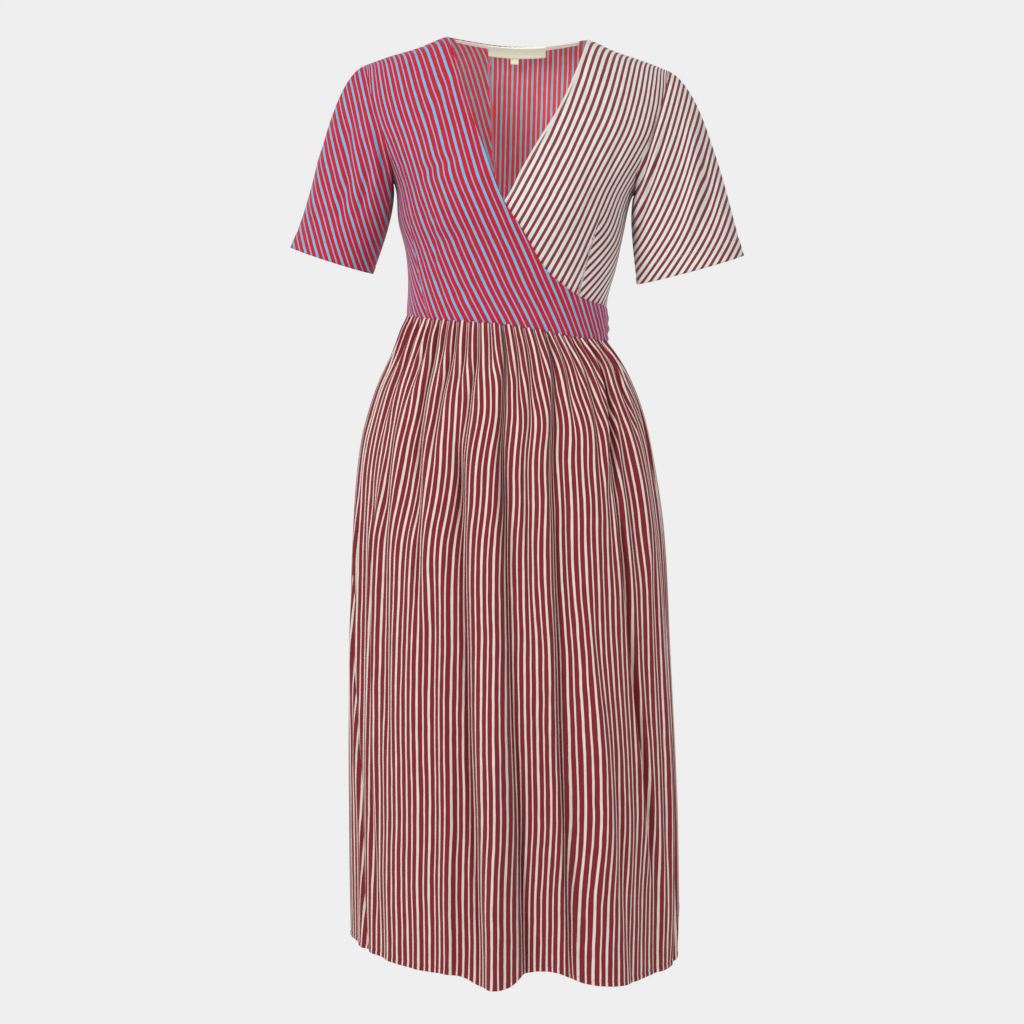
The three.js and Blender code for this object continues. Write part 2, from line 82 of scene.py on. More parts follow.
# The form of the filled dress, the same as the solids have.
form = {
    "shown": 0.7,          # thickness that is shown
    "drawn": 0.4,          # how far a crease draws the stripes along, for its depth
    "layerRise": 2.6,
    "flatness": 0.12,
    "waist": -341,
    "underarm": 172.5,
    "shoulder": 402,
    "seam": 0.3,
    "sideEdge": 89.88,
    "skirtLength": 800,
    "liftReach": 60,
    "bust": {"rise": 12, "place": 72, "width": 52, "level": 152, "height": 48},
}
bodiceSections = table(
    "up level middle half front back tilt slope dip",
    [0, -341, -9, 125, 86, 78, -0.124, 0, 3.5],
    [45, -296, -8, 124, 88, 80, -0.10, 0, 2],
    [85, -256, -4, 131, 94, 86, -0.08, 0, 0],
    [125, -216, -4, 140, 101, 92, -0.06, 0, 0],
    [165, -176, -1, 146, 105, 97, -0.05, 0, 0],
    [190, -151, 0, 157, 104, 99, -0.05, 0.15, 0],
    [225, -117, 1, 176, 99, 100, -0.04, 0.45, 0],
    [265, -79, 2, 194, 90, 97, -0.03, 0.75, 0],
    [305, -40, 3, 198, 77, 90, -0.02, 0.92, 0],
    [340, -9, 4, 195, 59, 76, -0.02, 1, 0],
    [370, 11, 4, 191, 34, 53, -0.02, 1, 0],
    [402, 18, 4, 190, 0, 0, -0.02, 1, 0],
    [434, 11, 4, 191, -34, -53, -0.02, 1, 0],
)
shoulderFall = table("out fall", [0, -3], [60, -3], [88, 0], [122, 14], [160, 26], [195, 39], [230, 52])
waistLift = table(
    "angle lift",
    [-90, 0], [-60, 0], [-40, 1.2], [-20, 3.6], [-1, 5.5], [12, 4.6], [23, 3], [40, 0.4], [60, 0], [90, 0],
)
armholeEdge = table(
    "up front back",
    [172.5, 89.85, 89.85], [182, 80, 81], [190, 72, 75], [225, 62.5, 67], [265, 59, 64],
    [305, 63, 66], [340, 70.5, 72], [370, 79, 80], [402, 89.85, 89.85],
)
frontRows = table("row side along", [0, 0, 0], [6, 38, 0.2], [11, 77, 0.45], [15, 172.5, 0.66], [25, 402, 1])
overEdge = table(
    "along angle up",
    [0, 77, 0], [0.1, 81, 20], [0.2, 75, 38], [0.3, 50.9, 44.4], [0.38, 33.4, 56.4],
    [0.45, 17.9, 77], [0.54, 5.7, 118.6], [0.62, -5.1, 155.3], [0.68, -9, 182],
    [0.77, -13.2, 219.3], [0.88, -18.7, 285.8], [0.95, -24.5, 350], [1, -27.4, 402],
)
underEdge = table(
    "along angle up",
    [0, -79, 0], [0.2, -76, 38], [0.3, -56, 46], [0.38, -38, 62], [0.45, -24, 86],
    [0.54, -13, 122], [0.6, -3.6, 151.9], [0.68, 3.5, 190.9], [0.75, 9.8, 229.7],
    [0.81, 14.5, 260.5], [0.91, 20.7, 309.7], [0.97, 26, 364], [1, 27.6, 402],
)
neckEdge = table("angle up", [-27.4, 402], [-23, 388], [-12, 375], [0, 370.5], [12, 374], [23, 387], [27.6, 402])
skirtSections = table(
    "down middle half front back tilt dip",
    [0, -9, 125, 86, 78, -0.124, 3.5],
    [40, -4.5, 144.5, 101, 97, -0.10, 2],
    [90, -7, 166, 117, 116, -0.07, 0],
    [150, -9.6, 181.5, 130, 131, -0.04, 0],
    [250, -7.3, 193.5, 142, 143, -0.02, 0],
    [400, -5.4, 199.8, 152, 152, 0, 0],
    [600, -0.5, 205.3, 162, 160, 0, 0],
    [800, 2.5, 206, 168, 165, 0, 0],
)


def ovalPoint(sections, place, angle, level):
    s, c = np.sin(angle * degree), np.cos(angle * degree)
    across = smooth(sections, "half", place) * s
    depth = np.where(c >= 0, smooth(sections, "front", place), smooth(sections, "back", place))
    lift = smooth(waistLift, "lift", np.clip(angle, -90, 90)) * ease(form["liftReach"], 0, place)
    return np.stack([
        smooth(sections, "middle", place) + across,
        -depth * c * (1 + form["flatness"] * s * s),
        level + lift + smooth(sections, "tilt", place) * across - smooth(sections, "dip", place) * c,
    ], -1)


def bodicePoint(angle, up):
    angle, up = np.broadcast_arrays(np.asarray(angle, float), np.asarray(up, float))
    point = ovalPoint(bodiceSections, up, angle, smooth(bodiceSections, "level", up))
    out = point[..., 0] - smooth(bodiceSections, "middle", up)
    point[..., 2] -= smooth(bodiceSections, "slope", up) * smooth(shoulderFall, "fall", np.abs(out))
    facing = np.clip(np.cos(angle * degree), 0, None)
    bust = form["bust"]
    full = mound(out - bust["place"], bust["width"]) + mound(out + bust["place"], bust["width"])
    point[..., 1] -= bust["rise"] * full * mound(up - bust["level"], bust["height"]) * np.sqrt(facing)
    side = np.where(facing > 0, 1, -1)
    point[..., 1] -= side * form["seam"] * ease(form["shoulder"] - 20, form["shoulder"], up)
    return point


def skirtPoint(angle, down):
    angle, down = np.broadcast_arrays(np.asarray(angle, float), np.asarray(down, float))
    return ovalPoint(skirtSections, down, angle, form["waist"] - down)


# Direction out of the form, level where the layers are parted.
def outward(point, angle, place, reach=90, level=True, upward=1):
    middle = np.where(np.abs(angle) > 90, 180, 0) * np.where(angle < 0, -1, 1)
    reach = np.broadcast_to(reach, np.shape(angle))
    clear = middle + np.clip(angle - middle, -reach, reach)
    around = point(clear + 0.5, place) - point(clear - 0.5, place)
    rising = (point(clear, place + 1) - point(clear, place - 1)) * upward
    normal = np.cross(around, rising)
    if level:
        normal[..., 2] = 0
    return unit(normal)


def bodiceOut(angle, up, level=True):
    angle, up = np.broadcast_arrays(angle, up)
    return outward(bodicePoint, angle, up, np.where(up > 380, 84, 90), level)


def skirtOut(angle, down):
    angle, down = np.broadcast_arrays(angle, down)
    return outward(skirtPoint, angle, down, 90, True, -1)


# Distance round the form from the middle of the front, on a grid that is read between its points.
def roundTable(point, places):
    angles = np.arange(-270, 271, 1.0)
    rings = point(angles[None, :], places[:, None])
    steps = np.linalg.norm(np.diff(rings, axis=1), axis=-1)
    total = np.concatenate([np.zeros((len(places), 1)), np.cumsum(steps, axis=1)], axis=1)
    return {"angles": angles, "places": places, "total": total - total[:, 270:271]}


def rowAt(places, place):
    i = np.clip(np.searchsorted(places, place, side="right") - 1, 0, len(places) - 2)
    return i, np.clip((place - places[i]) / (places[i + 1] - places[i]), 0, 1)


def distanceRound(grid, angle, place):
    i, t = rowAt(grid["places"], place)
    j = np.clip(np.floor(angle - grid["angles"][0]).astype(int), 0, len(grid["angles"]) - 2)
    f = angle - grid["angles"][j]
    total = grid["total"]
    return mix(mix(total[i, j], total[i, j + 1], f), mix(total[i + 1, j], total[i + 1, j + 1], f), t)


bodiceRound = roundTable(bodicePoint, np.arange(0, 403, 6.0))


# Place of the front's stripes across it: as seen from the front, and drawn together where the form
# turns away to the side.
def frontAcross(angle, up):
    middle, half = smooth(bodiceSections, "middle", 165.0), smooth(bodiceSections, "half", 165.0)
    turnedAway = distanceRound(bodiceRound, angle, 165.0 + 0 * angle) - half * np.sin(angle * degree)
    return bodicePoint(angle, up)[..., 0] - middle + turnedAway


skirtRound = roundTable(skirtPoint, np.arange(0, 861, 10.0))


# Mesh of a grid of points, rows upwards and columns round, with a solidified shell of cloth.
def clothMesh(name, points, stripe, along, edge, materials, ring=False, thickness=None):
    rows, columns = points.shape[:2]
    index = np.arange(rows * columns).reshape(rows, columns)
    if ring:
        index = np.concatenate([index, index[:, :1]], axis=1)
    corners = [(slice(None, -1), slice(None, -1)), (slice(None, -1), slice(1, None)),
               (slice(1, None), slice(1, None)), (slice(1, None), slice(None, -1))]
    mesh = bpy.data.meshes.new(name)
    faces = np.stack([index[corner] for corner in corners], -1).reshape(-1, 4)
    mesh.from_pydata((points.reshape(-1, 3) * mm).tolist(), [], faces.tolist())
    for layerName, first in (("cloth", stripe), ("edge", edge)):
        places = np.stack(np.broadcast_arrays(first, along), -1)
        layer = mesh.uv_layers.new(name=layerName)
        layer.data.foreach_set("uv", np.stack([places[corner] for corner in corners], 2).reshape(-1))
    mesh.polygons.foreach_set("use_smooth", [True] * len(mesh.polygons))
    for material in materials:
        mesh.materials.append(material)
    mesh.update()
    piece = bpy.data.objects.new(name, mesh)
    bpy.context.scene.collection.objects.link(piece)
    shell = piece.modifiers.new("shell", "SOLIDIFY")
    shell.thickness = (thickness or form["shown"]) * mm
    shell.offset = -1
    shell.material_offset = 1 if len(materials) > 1 else 0
    shell.material_offset_rim = 0
    return piece


def dress(piece, node):
    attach(piece, "root")
    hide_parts(node)


# Crease along a path of places: a soft trough between two low rolls or, with a minus depth, a ridge.
def crease(first, second, path, width, depth, fade=0.3):
    path = np.array(path, float)
    best = np.full(np.shape(first), 1e9)
    share = np.zeros(np.shape(first))
    lengths = np.linalg.norm(np.diff(path, axis=0), axis=1)
    starts = np.concatenate([[0], np.cumsum(lengths)])
    for k, ((ax, ay), (bx, by)) in enumerate(zip(path[:-1], path[1:])):
        dx, dy = bx - ax, by - ay
        t = np.clip(((first - ax) * dx + (second - ay) * dy) / (dx * dx + dy * dy), 0, 1)
        distance = np.hypot(first - ax - t * dx, second - ay - t * dy)
        nearer = distance < best
        best = np.where(nearer, distance, best)
        share = np.where(nearer, (starts[k] + t * lengths[k]) / starts[-1], share)
    profile = mound(best, width) - 0.3 * mound(best, 2.4 * width)
    return -depth * profile * ease(0, fade, share) * ease(1, 1 - fade, share)


def creased(first, second, creases):
    return sum(crease(first, second, *one) for one in creases)


def linearColour(hexColour):
    channels = [int(hexColour[i:i + 2], 16) / 255 for i in (1, 3, 5)]
    return [c / 12.92 if c <= 0.04045 else ((c + 0.055) / 1.055) ** 2.4 for c in channels] + [1]


def addNode(tree, kind, settings=None, links=None):
    node = tree.nodes.new(kind)
    for key, value in (settings or {}).items():
        if isinstance(key, int) or key in node.inputs:
            node.inputs[key].default_value = value
        else:
            setattr(node, key, value)
    for key, source in (links or {}).items():
        tree.links.new(source, node.inputs[key])
    return node


def newMaterial(name, rough, sheen):
    material = bpy.data.materials.new(name)
    material.use_nodes = True
    tree = material.node_tree
    shader = tree.nodes["Principled BSDF"]
    shader.inputs["Roughness"].default_value = rough
    shader.inputs["IOR"].default_value = 1.5
    shader.inputs["Specular IOR Level"].default_value = 0.25
    shader.inputs["Sheen Weight"].default_value = sheen
    shader.inputs["Sheen Roughness"].default_value = 0.45
    return material, tree, shader


# Printed viscose crepe: a matt cloth with a grainy twist and slightly uneven printed stripes.
def stripedCrepe(name, bands, wobble, glow=0.0, bandEdge=None):
    material, tree, shader = newMaterial(name, 0.86, 0.12)
    place = addNode(tree, "ShaderNodeUVMap", {"uv_map": "cloth"}).outputs["UV"]
    # The printed edges waver by a few tenths of a millimetre over about 40 mm of length.
    stretched = addNode(tree, "ShaderNodeVectorMath", {"operation": "MULTIPLY", 1: (0.11, 0.026, 0)}, {0: place})
    waver = addNode(tree, "ShaderNodeTexNoise", {"noise_dimensions": "2D", "Scale": 1.0, "Detail": 2.0},
                    {"Vector": stretched.outputs[0]})
    centred = addNode(tree, "ShaderNodeMath", {"operation": "SUBTRACT", 1: 0.5}, {0: waver.outputs["Fac"]})
    shift = addNode(tree, "ShaderNodeMath", {"operation": "MULTIPLY", 1: wobble}, {0: centred.outputs[0]})
    across = addNode(tree, "ShaderNodeSeparateXYZ", {}, {0: place}).outputs[0]
    moved = addNode(tree, "ShaderNodeMath", {"operation": "ADD"}, {0: across, 1: shift.outputs[0]})
    repeat = sum(width for width, _ in bands)
    share = addNode(tree, "ShaderNodeMath", {"operation": "DIVIDE", 1: repeat}, {0: moved.outputs[0]})
    turn = addNode(tree, "ShaderNodeMath", {"operation": "FRACT"}, {0: share.outputs[0]})
    ramp = addNode(tree, "ShaderNodeValToRGB", {}, {"Fac": turn.outputs[0]})
    stops = ramp.color_ramp.elements
    blur = 0.16 / repeat     # dye bleeds about 0.3 mm across an edge
    at, wanted = 0.0, []
    for width, colour in bands:
        wanted += [(at + blur, colour), (at + width / repeat - blur, colour)]
        at += width / repeat
    while len(stops) < len(wanted):
        stops.new(0.5)
    for stop, (position, colour) in zip(stops, wanted):
        stop.position = position
        stop.color = linearColour(colour)
    # Dye takes unevenly over some 12 mm, and the crepe twist gives a grain of about 0.9 mm.
    tones = []
    for scale, detail, spread in ((0.08, 3.0, 0.05), (1.1, 2.0, 0.06)):
        grain = addNode(tree, "ShaderNodeTexNoise", {"noise_dimensions": "2D", "Scale": scale, "Detail": detail},
                        {"Vector": place})
        limits = {"From Min": 0.3, "From Max": 0.7, "To Min": 1 - spread, "To Max": 1 + spread}
        tones.append(addNode(tree, "ShaderNodeMapRange", limits, {"Value": grain.outputs["Fac"]}).outputs[0])
    both = addNode(tree, "ShaderNodeMath", {"operation": "MULTIPLY"}, {0: tones[0], 1: tones[1]})
    colour = ramp.outputs["Color"]
    if bandEdge:
        distance = addNode(tree, "ShaderNodeUVMap", {"uv_map": "edge"}).outputs["UV"]
        near = addNode(tree, "ShaderNodeSeparateXYZ", {}, {0: distance}).outputs[0]
        width, soft = bandEdge["width"], bandEdge["soft"]
        mask = addNode(tree, "ShaderNodeMapRange", {"From Min": width - soft, "From Max": width + soft},
                       {"Value": near})
        band = addNode(tree, "ShaderNodeMix", {"data_type": "RGBA"}, {"Factor": mask.outputs[0]})
        band.inputs[6].default_value = linearColour(bandEdge["colour"])
        tree.links.new(colour, band.inputs[7])
        colour = band.outputs[2]
    shade = addNode(tree, "ShaderNodeVectorMath", {"operation": "SCALE"}, {0: colour, "Scale": both.outputs[0]})
    tree.links.new(shade.outputs[0], shader.inputs["Base Color"])
    bump = addNode(tree, "ShaderNodeBump", {"Strength": 0.35, "Distance": 0.0002},
                   {"Height": grain.outputs["Fac"]})
    tree.links.new(bump.outputs["Normal"], shader.inputs["Normal"])
    # The inner face can be given a painted glow: emission in its own colour stands in for studio light that comes
    # through the thin crepe, so its inside looks bright.
    if glow:
        tree.links.new(shade.outputs[0], shader.inputs["Emission Color"])
        shader.inputs["Emission Strength"].default_value = glow
    return material


# Cotton tape and satin label: close straight threads, a little smoother than the crepe, with a painted glow that
# lights them in the shade of the back neck.
def wovenTape(name, hexColour, rough, thread, glow=0.0):
    material, tree, shader = newMaterial(name, rough, 0.1)
    place = addNode(tree, "ShaderNodeUVMap", {"uv_map": "cloth"}).outputs["UV"]
    # Threads of about 0.4 mm are drawn at the given spacing so that they show.
    wave = {"wave_type": "BANDS", "Scale": 0.314 / thread, "Distortion": 0.6, "Detail": 1.0}
    threads, picks = (
        addNode(tree, "ShaderNodeTexWave", {**wave, "bands_direction": direction}, {"Vector": place})
        for direction in "XY")
    crossed = addNode(tree, "ShaderNodeMath", {"operation": "MULTIPLY"},
                      {0: threads.outputs["Fac"], 1: picks.outputs["Fac"]})
    tone = addNode(tree, "ShaderNodeMapRange", {"To Min": 0.9, "To Max": 1.04}, {"Value": crossed.outputs[0]})
    base = addNode(tree, "ShaderNodeVectorMath", {"operation": "SCALE", 0: linearColour(hexColour)[:3]},
                   {"Scale": tone.outputs[0]})
    tree.links.new(base.outputs[0], shader.inputs["Base Color"])
    # Emission in the tape's own colour is a painted glow: it brightens tape and label where they sit in shade inside
    # the back neck.
    tree.links.new(base.outputs[0], shader.inputs["Emission Color"])
    shader.inputs["Emission Strength"].default_value = glow
    bump = addNode(tree, "ShaderNodeBump", {"Strength": 0.4, "Distance": 0.0002}, {"Height": crossed.outputs[0]})
    tree.links.new(bump.outputs["Normal"], shader.inputs["Normal"])
    return material


# Spun polyester thread: a soft shine on tiny rounded stitches.
def sewingThread(name, hexColour):
    material, tree, shader = newMaterial(name, 0.55, 0.1)
    place = addNode(tree, "ShaderNodeTexCoord").outputs["Object"]
    # Fibre fluff shows as an unevenness of about 1 mm along the thread.
    fibre = addNode(tree, "ShaderNodeTexNoise", {"Scale": 900.0, "Detail": 1.0}, {"Vector": place})
    tone = addNode(tree, "ShaderNodeMapRange", {"To Min": 0.85, "To Max": 1.1}, {"Value": fibre.outputs["Fac"]})
    base = addNode(tree, "ShaderNodeVectorMath", {"operation": "SCALE", 0: linearColour(hexColour)[:3]},
                   {"Scale": tone.outputs[0]})
    tree.links.new(base.outputs[0], shader.inputs["Base Color"])
    return material


looks = {
    # Widths in millimetres across the stripes, read off the photo's scale of 1.25 mm to a pixel.
    "redSky": [(5.3, "#B81A29"), (3.0, "#5FB2DC"), (5.3, "#B81A29"), (1.6, "#6CA9D2")],
    # The inside colours are lighter copies of the outside ones: painted light on the inner face, standing in for
    # studio light that comes through the thin crepe.
    "redSkyInsidePaintedLight": [(4.9, "#E0464A"), (3.0, "#74CBE4"), (4.9, "#E0464A"), (2.1, "#86CFE6")],
    "creamBurgundy": [(3.6, "#82303A"), (4.1, "#D6DAD3")],
    # Lighter inside copy: painted light on the inner face.
    "creamBurgundyInsidePaintedLight": [(3.6, "#A0565C"), (4.1, "#E2E2DC")],
    "burgundyCream": [(5.1, "#7E1E2A"), (2.7, "#DAD2C8"), (5.1, "#7E1E2A"), (1.8, "#DAD2C8")],
    # Lighter inside copy: painted light on the inner face.
    "burgundyCreamInsidePaintedLight": [(5.1, "#A2565B"), (2.7, "#DCD3CB"), (5.1, "#A2565B"), (1.8, "#DCD3CB")],
    "creamBand": {"width": 3.2, "soft": 0.3, "colour": "#D9D7CE"},
    # Strength of the painted glow on the red and sky inner face.
    "glow": 0.28,
}
redSky = stripedCrepe("redSkyCrepe", looks["redSky"], 1.0)
# The inside materials take the lighter painted-light colours, and the red and sky one also a painted glow.
redSkyInsidePaintedLight = stripedCrepe("redSkyCrepeInsidePaintedLight", looks["redSkyInsidePaintedLight"], 1.0, looks["glow"])
creamBurgundy = stripedCrepe("creamBurgundyCrepe", looks["creamBurgundy"], 0.9, bandEdge=looks["creamBand"])
creamBurgundyInsidePaintedLight = stripedCrepe("creamBurgundyCrepeInsidePaintedLight", looks["creamBurgundyInsidePaintedLight"], 0.9)
burgundyCream = stripedCrepe("burgundyCreamCrepe", looks["burgundyCream"], 1.4)
burgundyCreamInsidePaintedLight = stripedCrepe("burgundyCreamCrepeInsidePaintedLight", looks["burgundyCreamInsidePaintedLight"], 1.4)
# The last number is the strength of the painted glow on tape and label.
neckTape = wovenTape("creamCottonTape", "#E9EDDC", 0.8, 0.8, 0.4)
labelSatin = wovenTape("creamLabelSatin", "#DFE9CF", 0.5, 0.9, 0.42)
redThread = sewingThread("redThread", "#A81E2E")
creamThread = sewingThread("creamThread", "#CFCBC0")
burgundyThread = sewingThread("burgundyThread", "#6A1F28")
print("materials made")

bodice = {
    "rows": 131, "overColumns": 171, "underColumns": 131, "backColumns": 151,
    "overArea": 0.070, "underArea": 0.075, "backArea": 0.140,
    "crowding": 1.25, "backStripeScale": 1.17,
    "neckFold": {"at": 8, "width": 3, "depth": 1.1, "edge": 0.7},
}
# Lean of the stripes in degrees from straight up, by the height on the bodice.
overLean = table(
    "up lean",
    [0, 27], [60, 26], [120, 25], [170, 23], [200, 18], [240, 15], [300, 15.5], [340, 15], [402, 14],
)
underLean = table(
    "up lean",
    [0, 33], [60, 32], [120, 30], [180, 28], [240, 25], [300, 20], [340, 16], [402, 13],
)
overDart = {
    "line": table("up angle", [0, -48.7], [70.6, -61.7], [142.7, -61]),
    "tip": 142.7, "lean": 38, "bend": 60,
}
underDart = {
    "line": table("up angle", [0, 40.5], [53.7, 43.9], [104.3, 46.2], [156.4, 50.4]),
    "tip": 156.4, "lean": 52, "bend": 50,
}


def armholePlace(share, face):
    up = mix(form["underarm"], form["shoulder"], share ** bodice["crowding"])
    return smooth(armholeEdge, face, up), up


def sideEdge(row, seamRows, seamUp, face):
    angle, up = armholePlace(np.clip((row - seamRows) / 10, 0, 1), face)
    onSeam = row <= seamRows
    return np.where(onSeam, form["sideEdge"], angle), np.where(onSeam, seamUp, up)


def clearOfSeams(up):
    return np.clip(up, form["seam"] / 2, form["shoulder"] - form["seam"])


# Cloth rolls in a little beside a seam.
def seamRoll(distance, depth=0.7, width=3.0):
    return -depth * mound(distance, width)


# Stripes at a lean that changes with the height, from a place that keeps its stripe.
def leaning(lean, side, across, up, heldAcross=0.0, heldUp=0.0):
    heights = np.arange(0, 403, 2.0)
    slopes = np.sin(lean(heights) * degree)
    total = np.concatenate([[0], np.cumsum(slopes[1:] + slopes[:-1])])
    rise = np.interp(up, heights, total) - np.interp(heldUp, heights, total)
    return (across - heldAcross) * np.cos(lean(up) * degree) + side * rise


# Beside the dart, whose wedge takes the cloth between in, they turn further down to the waist.
def printedStripe(leanTable, dart, side, angle, up):
    def lean(up):
        return smooth(leanTable, "lean", up)

    def leanBeside(up):
        return mix(lean(up), dart["lean"], ease(dart["tip"], dart["tip"] - dart["bend"], up))

    tip, across = dart["tip"], frontAcross(angle, up)
    tipAcross = frontAcross(smooth(dart["line"], "angle", tip), np.float64(tip))
    held = leaning(lean, side, tipAcross, tip)
    turned = held + leaning(leanBeside, side, across, up, tipAcross, tip)
    beyond = side * (smooth(dart["line"], "angle", up) - angle) > 0
    return np.where((up < tip) & beyond, turned, leaning(lean, side, across, up))


def overRise(angle, up):
    raised = ease(-86, -50, angle) * ease(265, 185, up)
    end = ease(56, 76, angle) * ease(58, 34, up)
    wrinkles = 1.15 * np.cos(2 * np.pi * (up + 1.4 * np.sin(angle / 7)) / 12.6) * ease(45, 4, up)
    return form["layerRise"] * raised + end * (1.2 + wrinkles)


def underRise(angle, up):
    return -form["layerRise"] * ease(-35, -70, angle) * ease(130, 90, up)


def overStripe(angle, up):
    wavy = 1.4 * np.sin(2 * np.pi * up / 12.6 + 0.8) * ease(54, 77, angle) * ease(56, 34, up)
    return printedStripe(overLean, overDart, 1, angle, up) + wavy


def underStripe(angle, up):
    return printedStripe(underLean, underDart, -1, angle, up)


# Creases as a path of places, in millimetres across from the middle and up from the waist seam,
# then the half width and the depth.
overCreases = [
    ([(-60, 205), (-95, 190), (-128, 178)], 9, 2.2),
    ([(-40, 120), (-72, 100), (-110, 92)], 10, 1.3),
    ([(-100, 60), (-70, 40), (-30, 34)], 9, 1.2),
    ([(20, 60), (70, 30), (120, 22)], 7, 1.5),
    ([(30, 40), (80, 16), (128, 8)], 6, 1.4),
    ([(-60, 330), (-90, 290), (-110, 250)], 12, 1.8),
    ([(-20, 210), (-10, 160), (8, 120)], 11, 1.2),
    ([(-118, 150), (-104, 120), (-96, 90)], 7, 1.4),
    ([(-74, 2), (-95, 66), (-97, 140)], 3, 1.1, 0.1),
]
underCreases = [
    ([(30, 150), (48, 160), (66, 152)], 5, 1.3),
    ([(60, 130), (85, 118), (104, 104)], 7, 1.5),
    ([(112, 180), (96, 150), (84, 110)], 8, 2.0),
    ([(60, 330), (92, 290), (118, 240)], 12, 1.8),
    ([(30, 250), (60, 220), (84, 180)], 11, 1.1),
    ([(118, 120), (104, 90), (92, 60)], 8, 1.5),
    ([(150, 280), (132, 230), (122, 186)], 8, 2.2),
    ([(60, 4), (70, 60), (75, 104), (82, 152)], 3, 1.1, 0.1),
]


def frontPanel(name, side, edge, columns, rise, creases, stripe, materials):
    row = np.linspace(0, 25, bodice["rows"])[:, None]
    sideAngle, sideUp = sideEdge(row, 15, smooth(frontRows, "side", row), "front")
    along = smooth(frontRows, "along", row)
    share = np.linspace(0, 1, columns)[None, :]
    angle = mix(side * sideAngle, smooth(edge, "angle", along), share)
    up = clearOfSeams(mix(sideUp, smooth(edge, "up", along), share))
    across = distanceRound(bodiceRound, angle, up)
    base = bodicePoint(angle, up)
    steps = np.linalg.norm(np.diff(base, axis=1), axis=-1)
    reach = np.concatenate([np.zeros((len(row), 1)), np.cumsum(steps, axis=1)], axis=1)
    fromEdge = reach[:, -1:] - reach
    fold = bodice["neckFold"]
    turned = fold["edge"] * mound(fromEdge, 2.5) - fold["depth"] * mound(fromEdge - fold["at"], fold["width"])
    creaseLift = creased(across, up, creases)
    lift = (rise(angle, up) + seamRoll(up) + seamRoll(reach, 0.9, 4.0) + creaseLift
            + turned * ease(90, 150, up) * ease(400, 370, up))
    points = base + bodiceOut(angle, up) * lift[..., None]
    grids = [points, stripe(angle, up) + form["drawn"] * creaseLift, up, fromEdge]
    if side > 0:
        grids = [grid[:, ::-1] for grid in grids]
    return clothMesh(name, *grids, materials), grids[0]


bodiceOver, overPoints = frontPanel(
    "bodice_over_cloth", -1, overEdge, bodice["overColumns"], overRise, overCreases, overStripe,
    [redSky, redSkyInsidePaintedLight])
bodiceUnder, underPoints = frontPanel(
    "bodice_under_cloth", 1, underEdge, bodice["underColumns"], underRise, underCreases, underStripe,
    [creamBurgundy, creamBurgundyInsidePaintedLight])
dress(bodiceOver, "bodice_front_over")
dress(bodiceUnder, "bodice_front_under")

# The back, with a fold down its inside that shows in the neckline and turns the stripes beside it.
backFold = {
    "line": table("up across", [130, 22], [250, 29], [335, 35]),
    "lean": 17, "above": 130, "full": 210,
}
backCreases = [
    ([(36, 335), (30, 250), (22, 140)], 6, 6.0),
    ([(-34, 330), (-26, 260), (-30, 190)], 12, -2.6),
    ([(-110, 250), (-80, 190), (-40, 150)], 13, 2.2),
    ([(100, 240), (70, 180), (36, 146)], 12, 2.0),
    ([(-90, 70), (-50, 50), (-10, 56)], 9, 1.8),
    ([(80, 60), (44, 44), (10, 50)], 10, 1.6),
    ([(-60, 130), (-72, 80), (-66, 30)], 8, 1.6),
    ([(64, 120), (74, 70), (70, 24)], 8, 1.7),
]


def backTop(fromMiddle):
    inNeck = (fromMiddle > -27.4) & (fromMiddle < 27.6)
    return np.where(inNeck, smooth(neckEdge, "up", fromMiddle), form["shoulder"] - form["seam"])


def backStripe(across, up):
    above, line = backFold["above"], backFold["line"]

    def lean(up):
        return backFold["lean"] * ease(above, backFold["full"], up)

    start = line["across"][0]
    turned = start + leaning(lean, -1, across, up, start, above)
    beyond = across > smooth(line, "across", np.clip(up, above, line["up"][-1]))
    return np.where(beyond & (up > above), turned, across) * bodice["backStripeScale"]


def backBodice():
    row = np.linspace(0, 16, bodice["rows"])[:, None]
    edgeAngle, edgeUp = sideEdge(row, 6, form["underarm"] * row / 6, "back")
    share = np.linspace(0, 1, bodice["backColumns"])[None, :]
    angle = mix(180 - edgeAngle, 180 + edgeAngle, share)
    above = np.maximum(edgeUp - form["underarm"], 0) / (form["shoulder"] - form["underarm"])
    up = clearOfSeams(edgeUp + above * (backTop((0.5 - share) * 180) - form["shoulder"]))
    across = distanceRound(bodiceRound, angle, up) - distanceRound(bodiceRound, 180 + 0 * angle, up)
    lift = seamRoll(up) + creased(across, up, backCreases)
    points = bodicePoint(angle, up) + bodiceOut(angle, up) * lift[..., None]
    return clothMesh("bodice_back_cloth", points, backStripe(across, up), up, 50, [redSky, redSkyInsidePaintedLight])


bodiceBack = backBodice()
dress(bodiceBack, "bodice_back")
print("bodice made")

sleeves = {
    "rows": 81, "columns": 160, "stitchUp": 22, "area": 0.058,
    "right": {"side": -1, "outer": (-278, -240), "inner": (-175.5, -273), "depth": 60, "topStart": (-130, -60),
              "topEnd": (-100, -215), "underStart": (10, -95), "underEnd": (-40, -110)},
    "left": {"side": 1, "outer": (286, -250), "inner": (153, -286), "depth": 47, "topStart": (130, -75),
             "topEnd": (75, -250), "underStart": (-16, -95), "underEnd": (12, -110)},
    "hemLean": 4, "bulge": 22, "stripeScale": 1.18, "deeper": 1.7,
    # The edge is tucked in under the armhole: degrees inside it, and millimetres under the bodice.
    "tuck": ((0, 1.0), (1.5, 1.5), (3.5, 1.8)),
}
# Lean of the stripes in degrees from straight up, by the height above the waist.
sleeveLean = {
    "right": table("up lean", [50, 24], [120, 20], [180, 17], [240, 15], [300, 14], [370, 14]),
    "left": table("up lean", [50, 42], [110, 38], [160, 33], [220, 27], [300, 20], [370, 16]),
}
